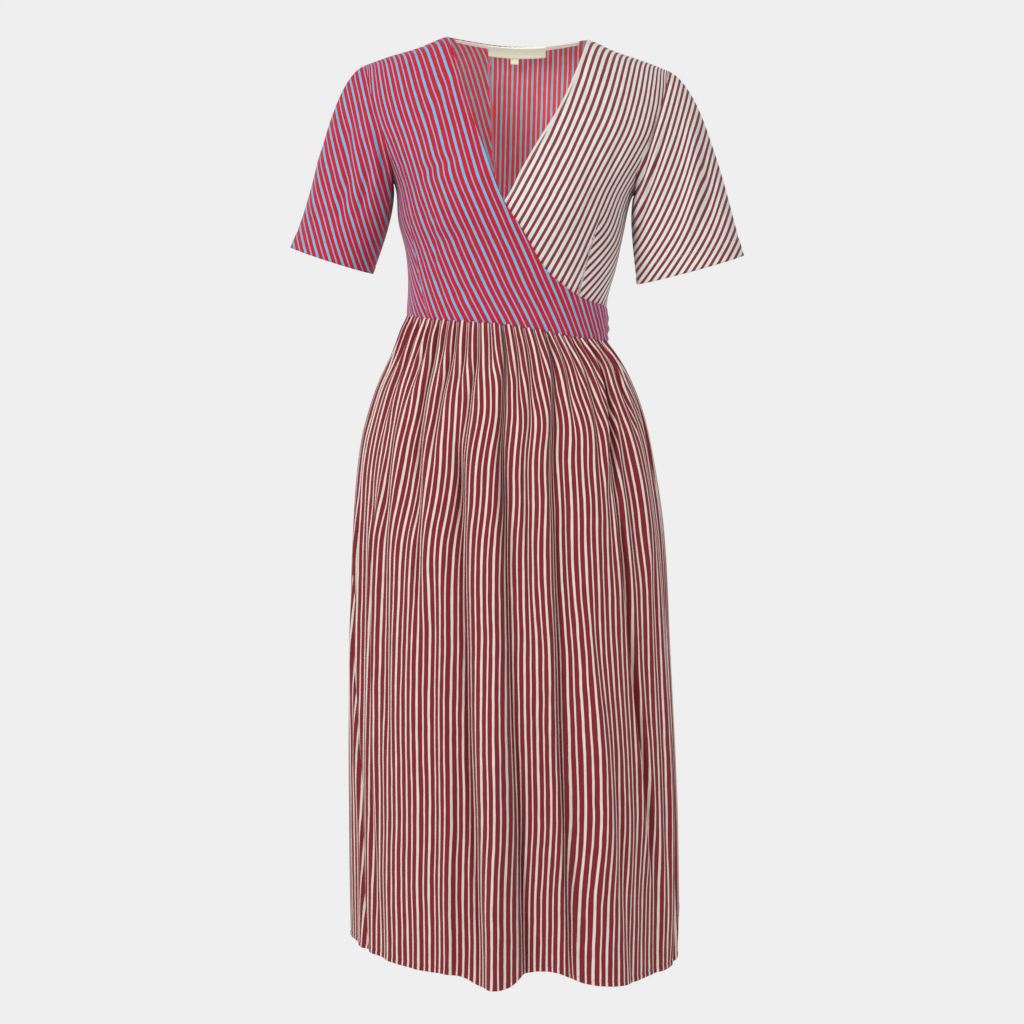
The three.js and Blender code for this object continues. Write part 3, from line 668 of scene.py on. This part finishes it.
# Creases as seen from the front and, on the far side, from behind: places across and up, half
# width and depth.
sleeveCreases = {
    "right": {
        "front": [
            ([(-204, -60), (-206, -128), (-204, -159), (-222, -225)], 8, 4.0),
            ([(-232, -110), (-238, -160), (-252, -220)], 10, -2.6),
            ([(-176, -74), (-160, -130), (-154, -178)], 7, 3.6),
            ([(-186, -100), (-178, -150), (-190, -215)], 6, 2.4),
        ],
        "back": [
            ([(-196, -70), (-200, -120), (-214, -190)], 9, 3.4),
            ([(-230, -120), (-240, -170), (-246, -230)], 10, -2.2),
            ([(-178, -90), (-166, -140), (-162, -180)], 7, 3.0),
        ],
    },
    "left": {
        "front": [
            ([(178, -60), (164, -123), (149, -187)], 5, 5.0),
            ([(196, -84), (183, -114), (171, -156), (156, -204), (150, -240)], 4.5, 3.4),
            ([(212, -60), (219, -111), (222, -150), (220, -190), (206, -252)], 11, -3.4),
            ([(232, -120), (244, -170), (240, -220)], 9, 2.2),
        ],
        "back": [
            ([(180, -70), (170, -120), (156, -180)], 7, 3.6),
            ([(214, -80), (222, -140), (232, -220)], 9, -2.6),
            ([(196, -110), (190, -160), (178, -226)], 7, 2.4),
        ],
    },
}


# Place on an armhole at a turn round it, some degrees inside its edge.
def armholeAt(which, turn, inside=0.0):
    side = sleeves[which]["side"]
    firstHalf = turn < 0.5
    local = np.where(firstHalf, 1 - 2 * turn, 2 * turn - 1)
    isFront = firstHalf if side < 0 else ~firstHalf
    frontAngle, up = armholePlace(local, "front")
    backAngle, _ = armholePlace(local, "back")
    return np.where(isFront, side * (frontAngle - inside), 180 - side * (backAngle - inside)), up, local


# Points of a sleeve: turn 0 is the top line, and shares run from the armhole to the hem.
def sleevePoint(which, turn, share):
    size = sleeves[which]
    side = size["side"]
    turn, share = np.broadcast_arrays(np.asarray(turn, float) % 1, np.asarray(share, float))
    angle, up, local = armholeAt(which, turn)
    begin = bodicePoint(angle, up)
    begin[..., 1] *= np.minimum(1, np.minimum(local, 1 - local) * 20)
    spin = turn * 2 * np.pi
    top, forward = (1 + np.cos(spin)) / 2, side * np.sin(spin)
    begin[..., 0] += side * form["seam"]
    begin[..., 1] += forward * form["seam"]
    outer, inner = np.array(size["outer"], float), np.array(size["inner"], float)
    centre, across = (outer + inner) / 2, (outer - inner) / 2
    end = np.stack([centre[0] + across[0] * np.cos(spin), forward * size["depth"],
                    centre[1] + across[1] * np.cos(spin) + forward * sleeves["hemLean"]], -1)

    def pull(a, b):
        return np.stack([mix(b[0], a[0], top), forward * sleeves["bulge"], mix(b[1], a[1], top)], -1)

    t = share[..., None]
    return (begin * (2 * t**3 - 3 * t**2 + 1) + pull(size["topStart"], size["underStart"]) * (t**3 - 2 * t**2 + t)
            + end * (3 * t**2 - 2 * t**3) + pull(size["topEnd"], size["underEnd"]) * (t**3 - t**2))


def sleeveOut(which, turn, share):
    around = sleevePoint(which, turn + 0.004, share) - sleevePoint(which, turn - 0.004, share)
    nearer, farther = np.maximum(share - 0.01, 0), np.minimum(share + 0.01, 1)
    rising = sleevePoint(which, turn, nearer) - sleevePoint(which, turn, farther)
    return unit(np.cross(around, rising))


def sleeveSurface(which, turn, share, length=245):
    base = sleevePoint(which, turn, share)
    fromHem = (1 - share) * length
    stitchUp = sleeves["stitchUp"]
    lift = 0.4 * ease(stitchUp + 1, stitchUp - 1, fromHem) - 1.0 * mound(fromHem - stitchUp, 1.8)
    lift = lift - 1.2 * mound(share * length, 5)
    creases = 0
    forward = sleeves[which]["side"] * np.sin(turn * 2 * np.pi)
    for face, facing in (("front", ease(0.15, -0.15, forward)), ("back", ease(-0.15, 0.15, forward))):
        found = creased(base[..., 0], base[..., 2], sleeveCreases[which][face])
        creases = creases + sleeves["deeper"] * facing * found
    return base + sleeveOut(which, turn, share) * (lift + creases)[..., None], creases


def sleeveCloth(which, materials):
    turn = np.arange(sleeves["columns"])[None, :] / sleeves["columns"]
    share = 1 - np.linspace(0, 1, sleeves["rows"])[:, None]
    points, creases = sleeveSurface(which, *np.broadcast_arrays(turn, share))
    for inside, under in sleeves["tuck"]:
        angle, up, _ = armholeAt(which, turn, inside)
        tucked = bodicePoint(angle, up) - bodiceOut(angle, up, level=False) * under
        points = np.concatenate([points, tucked])
        creases = np.concatenate([creases, creases[-1:]])
    closed, creases = (np.concatenate([grid, grid[:, :1]], axis=1) for grid in (points, creases))
    up = closed[..., 2] - form["waist"]

    def lean(up):
        return smooth(sleeveLean[which], "lean", up)

    stripe = leaning(lean, -sleeves[which]["side"], closed[..., 0], up)
    stripe = stripe * sleeves["stripeScale"] + form["drawn"] * creases
    return clothMesh(f"sleeve_{which}_cloth", points, stripe, up, 50, materials, ring=True), points


sleeveRight, rightPoints = sleeveCloth("right", [redSky, redSkyInsidePaintedLight])
sleeveLeft, leftPoints = sleeveCloth("left", [creamBurgundy, creamBurgundyInsidePaintedLight])
dress(sleeveRight, "sleeve_right")
dress(sleeveLeft, "sleeve_left")
print("sleeves made")

skirt = {
    "over": {"columns": 371, "rows": (22, 88, 12), "area": 0.45},
    "under": {"columns": 141, "rows": (12, 60, 8), "area": 0.38},
    "back": {"columns": 301, "rows": (20, 80, 10), "area": 0.45},
    "hemTurn": 6, "topRows": 60, "puff": 1.4, "deeper": 1.35, "tuckUp": 4, "tuckIn": 3.4,
}
overHem = table(
    "angle down",
    [-90, 752], [-61, 763], [-35, 776], [-19.5, 781], [-11, 792], [-3, 792], [3, 780], [9, 776],
    [15, 779], [23, 789], [40, 793], [57, 787], [66, 782], [72, 772], [75.5, 750], [77, 722],
)
underHem = table(
    "angle down",
    [-76, 670], [-72, 700], [-62, 732], [-40, 752], [0, 764], [40, 760], [60, 742], [80, 720], [90, 717],
)
backHem = table(
    "angle down",
    [-90, 717], [-80, 722], [-60, 750], [-30, 778], [0, 788], [30, 784], [60, 772], [90, 752],
)
overSkirtEdge = table("down angle", [0, 77], [40, 79], [200, 82], [500, 80], [740, 77], [800, 77])
# Large folds that the solids have too.
frontFolds = table(
    "waist hem width depth start end",
    [-41, -33, 4, -6, 0, 330], [-66, -66, 5, -5, 150, 800], [-20, -14.5, 5, -13, 90, 900],
    [-6, -7, 8, 17, 380, 1100], [-1, 4, 4, -12, 60, 900], [9, 9, 8, -13, 400, 1100],
    [21, 19, 4, -9, 0, 900], [30, 32, 9, 18, 360, 1100], [52, 52, 5, -8, 0, 560], [60, 66, 6, 6, 40, 900],
)
backFolds = table(
    "waist hem width depth start end",
    [-60, -62, 6, -7, 60, 900], [-44, -40, 8, 14, 300, 1100], [-27, -22, 5, -11, 0, 900],
    [-8, -10, 8, 16, 260, 1100], [5, 8, 5, -12, 40, 900], [22, 26, 9, 15, 340, 1100],
    [40, 44, 5, -9, 0, 800], [58, 62, 7, 8, 200, 900],
)
foldFade = 160

# Gathers at the waist seam: the angle of each valley, its half width and depth in millimetres,
# and how far down it runs.
frontGathers = table(
    "angle width depth length",
    [-84, 2.8, 3.6, 130], [-77, 2.6, 4.6, 70], [-71, 3.0, 5.2, 230], [-64, 2.6, 4.2, 90], [-57, 2.9, 5.4, 170],
    [-50.5, 2.5, 4.0, 60], [-46, 2.8, 5.0, 120], [-34.5, 2.6, 4.4, 80], [-28.5, 3.0, 5.8, 210], [-22, 2.6, 4.4, 100],
    [-15.5, 2.9, 5.4, 260], [-9, 2.6, 4.2, 70], [4, 2.7, 4.6, 130], [9.5, 3.0, 5.4, 190], [15.5, 2.5, 4.0, 60],
    [27.5, 2.8, 5.0, 150], [33, 2.6, 4.2, 80], [38.5, 3.0, 5.8, 240], [44.5, 2.6, 4.6, 100], [60.5, 2.8, 5.2, 160],
    [66, 2.6, 4.4, 90], [72.5, 2.6, 4.0, 60],
)
backGathers = table(
    "angle width depth length",
    [-84, 2.8, 3.8, 90], [-77, 2.9, 5.2, 190], [-70.5, 2.6, 4.2, 70], [-64, 3.0, 5.6, 240], [-55, 2.6, 4.4, 90],
    [-49, 2.8, 5.0, 150], [-40.5, 2.6, 4.2, 60], [-34, 3.0, 5.6, 210], [-19, 2.6, 4.6, 110], [-13.5, 2.8, 5.2, 170],
    [-6.5, 2.6, 4.0, 60], [0.5, 2.9, 5.4, 130], [12, 2.6, 4.4, 90], [18, 3.0, 5.8, 250], [26.5, 2.6, 4.2, 70],
    [33, 2.8, 5.2, 160], [47.5, 2.6, 4.4, 80], [53, 3.0, 5.4, 220], [63, 2.6, 4.6, 110], [70, 2.8, 5.0, 180],
    [77, 2.6, 4.0, 70], [83.5, 2.6, 3.8, 100],
)
# Long folds: the angle of each at four heights, its half width and depth, and its stretch of skirt.
foldHeights = (0, 200, 500, 780)
frontLong = table(
    "waist hip knee hem width depth start end",
    [-40, -34, -34, -33, 6, 7, 0, 400], [-52, -50, -48, -46, 7, 4, 70, 560], [-20, -17, -14.5, -11, 6, 9, 100, 860],
    [-2.5, -1, 0.5, 3, 5.5, 10, 0, 860], [22, 17, 17.5, 20, 5.5, 9, 0, 860], [51, 45, 51, 57, 5.5, 9, 0, 700],
    [55.5, 41, 39, 40, 6, 5, 10, 330], [-80, -82, -71, -61, 5.5, 6, 200, 860], [-60, -59, -58, -54, 5.5, 5, 180, 760],
    [69, 76, 72, 67, 5, 6, 60, 830], [8, 7.5, 9, 10, 8, 5, 90, 420], [-26, -26, -27, -27, 8, 4, 260, 860],
    [32, 30, 34, 40, 8, 4, 300, 860], [62, 62, 62, 61, 7, 4.5, 240, 720], [-70, -72, -76, -78, 6, 4.5, 120, 620],
)
backLong = table(
    "waist hip knee hem width depth start end",
    [-58, -60, -61, -62, 6, 6, 60, 780], [-27, -25, -23, -22, 5.5, 8, 0, 860], [6, 7, 7.5, 8, 5, 9, 0, 860],
    [41, 42, 43, 44, 6, 7, 0, 740], [-44, -42, -44, -48, 8, 4.5, 160, 560], [-12, -10, -8, -6, 7, 5, 200, 860],
    [24, 22, 20, 18, 7, 5, 120, 500], [58, 60, 62, 60, 6.5, 6, 90, 800], [-74, -76, -76, -74, 6, 5, 100, 660],
    [74, 76, 75, 72, 6, 5, 180, 820], [32, 32, 34, 36, 8, 4, 320, 860],
)


def foldDepth(folds, angle, down):
    total = np.zeros(np.shape(angle))
    for waist, hem, width, depth, start, end in zip(*folds.values()):
        middle = mix(waist, hem, down / form["skirtLength"])
        length = ease(start, start + foldFade, down) * ease(end, end - foldFade, down)
        total = total + depth * length * mound(angle - middle, width)
    return total


# The angle, half width and depth of every fold of a panel at given heights.
def foldLines(panel, down):
    atSeam = mix(0.45, 1, ease(0, 14, down))
    deeper = skirt["deeper"]
    lines = [(angle + 0 * down, width + 0.012 * down, deeper * depth * atSeam * ease(length, 0.3 * length, down))
             for angle, width, depth, length in zip(*panel["gathers"].values())]
    for waist, hip, knee, hem, width, depth, start, end in zip(*panel["long"].values()):
        begins = ease(start, start + 90, down) if start else atSeam
        lines.append((np.interp(down, foldHeights, (waist, hip, knee, hem)), mix(3, width, ease(0, 150, down)),
                      deeper * depth * begins * ease(end, end - 120, down)))
    return lines


# Angles at even steps of cloth across a panel, at a row of heights. The cloth keeps its width all
# the way down, and what the form doesn't take up there is drawn into the folds.
def clothAngles(panel, share):
    down = skirtRound["places"][:, None]
    start, end = panel["start"], panel["end"](down)
    angles = mix(start, end, np.linspace(0, 1, 1400)[None, :])
    distance = distanceRound(skirtRound, panel["turned"] + angles, down)
    reach = distance[:, :1], distance[:, -1:]
    taken, weights = 0, 0
    for angle, width, depth in foldLines(panel, down):
        inPanel = ease(start + 1, start + 4, angle) * ease(end - 1, end - 4, angle)
        middle = distanceRound(skirtRound, panel["turned"] + angle, down)
        step, first, last = (np.tanh((d - middle) / (0.6 * width)) for d in (distance, *reach))
        weight = (depth + 0.02) * inPanel
        taken = taken + weight * (step - first) / (last - first)
        weights = weights + weight
    spare = panel["clothWidth"] - (reach[1] - reach[0])
    cloth = distance - reach[0] + spare * taken / weights
    return np.stack([np.interp(share * panel["clothWidth"], c, a) for c, a in zip(cloth, angles)])


def angleAt(panel, down):
    i, t = rowAt(skirtRound["places"], down)
    column = np.arange(down.shape[1])[None, :]
    return mix(panel["angles"][i, column], panel["angles"][i + 1, column], t)


def foldLift(panel, angle, down):
    distance = distanceRound(skirtRound, panel["turned"] + angle, down)
    lift = skirt["puff"] * ease(0, 20, down) * ease(240, 60, down)
    for middleAngle, width, depth in foldLines(panel, down):
        t = (distance - distanceRound(skirtRound, panel["turned"] + middleAngle, down)) / width
        lift = lift - depth * (mound(t, 1) - 0.3 * mound(t, 2.4))
    return lift


def seamFade(angle):
    return ease(90, 80, np.abs(angle))


# Slight unevenness between the folds.
def drape(share, down, seed):
    sway = 0
    for k, (pitch, height) in enumerate([(9.3, 1.3), (16.7, 0.9), (27.1, 0.5), (41.3, 0.3)]):
        drift = 0.0011 * down * math.sin(seed + 2.3 * k)
        sway = sway + height * np.sin(2 * np.pi * (pitch * share + drift) + seed * (k + 1))
    return sway * ease(20, 220, down)


def overSkirtRise(angle, down, share, lift):
    folds = foldDepth(frontFolds, angle, down) + (lift + drape(share, down, 1.0)) * ease(84, 74, angle)
    return form["layerRise"] * ease(-88, -60, angle) + folds * seamFade(angle)


def underSkirtRise(angle, down, share, lift):
    inside = mix(3.2, 5, ease(0, 60, down)) * ease(90, 82, angle)
    folds = foldDepth(frontFolds, angle, down) + lift * mix(0.3, 0.9, ease(60, 200, down))
    return -inside + folds * seamFade(angle)


def backSkirtRise(angle, down, share, lift):
    return (foldDepth(backFolds, angle, down) + lift + drape(share, down, 4.0)) * seamFade(angle)


def wrapEdge(down):
    return smooth(overSkirtEdge, "angle", down)


def sideSeam(down):
    return form["sideEdge"] + 0 * down


# Where each panel starts and ends, and the middle of its side, in degrees.
panels = {
    "over": {"start": -form["sideEdge"], "end": wrapEdge, "turned": 0, "clothWidth": 590,
             "hem": overHem, "gathers": frontGathers, "long": frontLong, "rise": overSkirtRise},
    "under": {"start": -76.0, "end": sideSeam, "turned": 0, "clothWidth": 585,
              "hem": underHem, "gathers": frontGathers, "long": frontLong, "rise": underSkirtRise},
    "back": {"start": -form["sideEdge"], "end": sideSeam, "turned": 180, "clothWidth": 630,
             "hem": backHem, "gathers": backGathers, "long": backLong, "rise": backSkirtRise},
}


def skirtCloth(which, materials):
    panel, size = panels[which], skirt[which]
    share = np.linspace(0, 1, size["columns"])
    panel["angles"] = clothAngles(panel, share)
    length = np.full((1, size["columns"]), float(form["skirtLength"]))
    for _ in range(4):
        length = smooth(panel["hem"], "down", angleAt(panel, length))
    nearWaist, middle, nearHem = size["rows"]
    turnUp, top = 2 * skirt["hemTurn"], skirt["topRows"]
    downs = [form["seam"] / 2 + (top - 0.15) * (i / nearWaist) ** 1.3 + 0 * length for i in range(nearWaist)]
    downs += [mix(top, length - turnUp, i / middle) for i in range(middle)]
    downs += [length - turnUp + turnUp * i / nearHem for i in range(nearHem + 1)]
    down = np.concatenate(downs[::-1], axis=0)
    angle = angleAt(panel, down)
    rise = panel["rise"](angle, down, share[None, :], foldLift(panel, angle, down))
    fromHem = length - down
    hemTurn = skirt["hemTurn"]
    rise = rise + 0.4 * ease(hemTurn + 1, hemTurn - 0.5, fromHem) - 0.5 * mound(fromHem - hemTurn, 1.4)
    turned = panel["turned"] + angle
    points = skirtPoint(turned, down) + skirtOut(turned, down) * rise[..., None]
    # The raw edge goes on a little way up behind the bodice.
    tucked = points[-1:] - skirtOut(turned[-1:], down[-1:]) * skirt["tuckIn"] + np.array([0, 0, skirt["tuckUp"]])
    points = np.concatenate([points, tucked])
    down = np.concatenate([down, down[-1:] - skirt["tuckUp"]])
    stripe = share[None, :] * panel["clothWidth"] + 0 * down
    return clothMesh(f"skirt_{which}_cloth", points, stripe, down, 50, materials), points


skirtMaterials = [burgundyCream, burgundyCreamInsidePaintedLight]
skirtOver, overSkirtPoints = skirtCloth("over", skirtMaterials)
skirtUnder, underSkirtPoints = skirtCloth("under", skirtMaterials)
skirtBack, backSkirtPoints = skirtCloth("back", skirtMaterials)
dress(skirtOver, "skirt_front_over")
dress(skirtUnder, "skirt_front_under")
dress(skirtBack, "skirt_back")
print("skirt made")

trims = {
    # Tops at the wearer's right and left, measured down from the neck edge.
    "binding": {"reach": 24, "top": (0.6, -1.4), "bottom": 7, "inset": 0.3, "hang": 0,
                "thickness": 0.8, "columns": 60, "rows": 6},
    "label": {"width": 72, "top": (-1, -1), "bottom": 16, "inset": 1.6, "hang": 4,
              "thickness": 0.6, "columns": 40, "rows": 10},
    "tab": {"width": 10, "middle": -3, "top": (14, 14), "bottom": 25, "inset": 4.5, "hang": 2.75,
            "thickness": 0.6, "columns": 8, "rows": 8},
}


def neckPiece(name, start, end, size, material):
    fromMiddle = mix(start, end, np.linspace(0, 1, size["columns"]))[None, :]
    t = np.linspace(0, 1, size["rows"])[:, None]
    top = mix(*size["top"], ease(-8, 8, fromMiddle))
    up = smooth(neckEdge, "up", fromMiddle) - mix(size["bottom"], top, t)
    angle = 180 - fromMiddle + 0 * up
    inward = form["shown"] + size["inset"] + size["hang"] * (1 - t)
    points = bodicePoint(angle, up) - bodiceOut(angle, up, level=False) * inward[..., None]
    across = distanceRound(bodiceRound, angle, up)
    return clothMesh(name, points, across, up, 50, [material], thickness=size["thickness"])


def neckAngle(width):
    return math.asin(width / 190) / degree


half = neckAngle(trims["label"]["width"] / 2)
tabHalf, tabMiddle = neckAngle(trims["tab"]["width"] / 2), neckAngle(trims["tab"]["middle"])
reach = trims["binding"]["reach"]
binding = neckPiece("back_neck_tape", reach, -reach, trims["binding"], neckTape)
label = neckPiece("blank_label", half, -half, trims["label"], labelSatin)
tab = neckPiece("blank_size_tab", tabMiddle + tabHalf, tabMiddle - tabHalf, trims["tab"], labelSatin)
dress(binding, "back_neck_binding")     # a 7 mm tape is too narrow to count as a sheet
dress(label, "neck_label")
dress(tab, "size_tab")
print("neck trims made")

# Stitches are 2 mm long with 0.9 mm between them, along a row at a distance from an edge.
stitches = {"length": 2.0, "gap": 0.9, "radius": 0.22, "sink": 0.05}


# Line across a grid of points at a distance in from its first row, with the cloth's normals.
def rowFromEdge(points, distance, ring=False):
    steps = np.linalg.norm(np.diff(points, axis=0), axis=-1)
    reach = np.concatenate([np.zeros((1, points.shape[1])), np.cumsum(steps, axis=0)])
    around = np.roll(points, -1, 1) - np.roll(points, 1, 1) if ring else np.gradient(points, axis=1)
    normals = unit(np.cross(around, np.gradient(points, axis=0)))
    line, out = (np.stack([[np.interp(distance, reach[:, u], grid[:, u, k]) for k in range(3)]
                           for u in range(points.shape[1])]) for grid in (points, normals))
    if ring:
        line, out = (np.concatenate([grid, grid[:1]]) for grid in (line, out))
    return line, unit(out)


# Place at a distance along a line of points.
def pointAlong(line, reach, at):
    return np.array([np.interp(at, reach, line[:, k]) for k in range(3)])


def stitchRow(name, line, out, thread):
    reach = np.concatenate([[0], np.cumsum(np.linalg.norm(np.diff(line, axis=0), axis=1))])
    pitch = stitches["length"] + stitches["gap"]
    starts = np.arange(1.0, reach[-1] - pitch, pitch)
    vertices, faces = [], []
    for start in starts:
        ends = [pointAlong(line, reach, at) for at in (start, start + stitches["length"])]
        normal = unit(pointAlong(out, reach, start))
        along = unit(ends[1] - ends[0])
        side = np.cross(normal, along)
        first = len(vertices)
        for t, swell in ((0.0, 0.35), (0.3, 1.0), (0.7, 1.0), (1.0, 0.35)):
            centre = mix(ends[0], ends[1], t) - normal * (stitches["sink"] + 0.25 * (1 - swell))
            for corner in range(6):
                spin = corner * math.pi / 3
                spoke = side * math.cos(spin) + normal * math.sin(spin)
                vertices.append((centre + stitches["radius"] * swell * spoke) * mm)
        for ring in range(3):
            for corner in range(6):
                a, b = first + ring * 6 + corner, first + ring * 6 + (corner + 1) % 6
                faces.append((a, a + 6, b + 6, b))
        faces += [tuple(first + corner for corner in range(6)), tuple(first + 23 - corner for corner in range(6))]
    mesh = bpy.data.meshes.new(name)
    mesh.from_pydata([tuple(vertex) for vertex in vertices], [], faces)
    mesh.polygons.foreach_set("use_smooth", [True] * len(mesh.polygons))
    mesh.materials.append(thread)
    piece = bpy.data.objects.new(name, mesh)
    bpy.context.scene.collection.objects.link(piece)
    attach(piece, "root")


hemUp, cuffUp = skirt["hemTurn"], sleeves["stitchUp"]
neckRows, neckIn = slice(40, -3), 5
overNeck = overPoints[neckRows, ::-1].swapaxes(0, 1)[:, ::-1]
underNeck = underPoints[neckRows].swapaxes(0, 1)[:, ::-1]
for name, points, distance, ring, slot, thread in (
    ("skirt_over_hem_stitches", overSkirtPoints, hemUp, False, "burgundy_cream_cloth", burgundyThread),
    ("skirt_under_hem_stitches", underSkirtPoints, hemUp, False, "burgundy_cream_cloth", burgundyThread),
    ("skirt_back_hem_stitches", backSkirtPoints, hemUp, False, "burgundy_cream_cloth", burgundyThread),
    ("sleeve_right_hem_stitches", rightPoints, cuffUp, True, "red_blue_cloth", redThread),
    ("sleeve_left_hem_stitches", leftPoints, cuffUp, True, "cream_burgundy_cloth", creamThread),
    ("over_neck_stitches", overNeck, neckIn, False, "red_blue_cloth", redThread),
    ("under_neck_stitches", underNeck, neckIn, False, "cream_burgundy_cloth", creamThread),
):
    line, out = rowFromEdge(points, distance, ring)
    stitchRow(name, line, out, thread)
print("stitches made")

studio = {"floor": -1.25, "half": 8.0, "back": 5.5, "backdrop": "#EFEFEF", "paper": "#202020", "glow": 0.985}


# Pale paper that glows evenly: a wall behind the dress and a floor far below it.
def palePaper(name, corners):
    mesh = bpy.data.meshes.new(name)
    mesh.from_pydata(corners, [], [(0, 1, 2, 3)])
    material = bpy.data.materials.new(name)
    material.use_nodes = True
    shader = material.node_tree.nodes["Principled BSDF"]
    shader.inputs["Base Color"].default_value = linearColour(studio["paper"])
    shader.inputs["Roughness"].default_value = 0.95
    shader.inputs["Specular IOR Level"].default_value = 0.0
    shader.inputs["Emission Color"].default_value = linearColour(studio["backdrop"])
    shader.inputs["Emission Strength"].default_value = studio["glow"]
    mesh.materials.append(material)
    paper = bpy.data.objects.new(name, mesh)
    bpy.context.scene.collection.objects.link(paper)


def areaLight(name, location, target, size, power):
    data = bpy.data.lights.new(name, "AREA")
    data.shape = "RECTANGLE"
    data.size, data.size_y = size
    data.energy = power
    light = bpy.data.objects.new(name, data)
    light.location = location
    light.rotation_euler = (Vector(target) - Vector(location)).to_track_quat("-Z", "Y").to_euler()
    bpy.context.scene.collection.objects.link(light)


half, floor, back = studio["half"], studio["floor"], studio["back"]
palePaper("paperFloor", [(-half, -half, floor), (half, -half, floor), (half, back, floor), (-half, back, floor)])
palePaper("paperWall", [(-half, back, floor), (half, back, floor), (half, back, half), (-half, back, half)])
scene = bpy.context.scene
scene.view_settings.view_transform = "Standard"
world = bpy.data.worlds.new("studio")
scene.world = world
world.use_nodes = True
background = world.node_tree.nodes["Background"]
background.inputs["Color"].default_value = linearColour(studio["backdrop"])
background.inputs["Strength"].default_value = 0.6
areaLight("key", (-2.0, -2.6, 1.7), (0, 0, -0.5), (1.2, 1.6), 84)
areaLight("fill", (2.6, -2.4, 0.6), (0, 0, -0.5), (2.0, 2.4), 20)

camera = bpy.data.objects.new("camera", bpy.data.cameras.new("camera"))
scene.collection.objects.link(camera)
camera.location = (-0.0025, -3.556, -0.42)
camera.rotation_euler = (math.pi / 2 - math.atan2(150, 3556), 0, 0)
camera.data.sensor_width = 36
camera.data.lens = 100.1
camera.data.clip_end = 50
scene.camera = camera
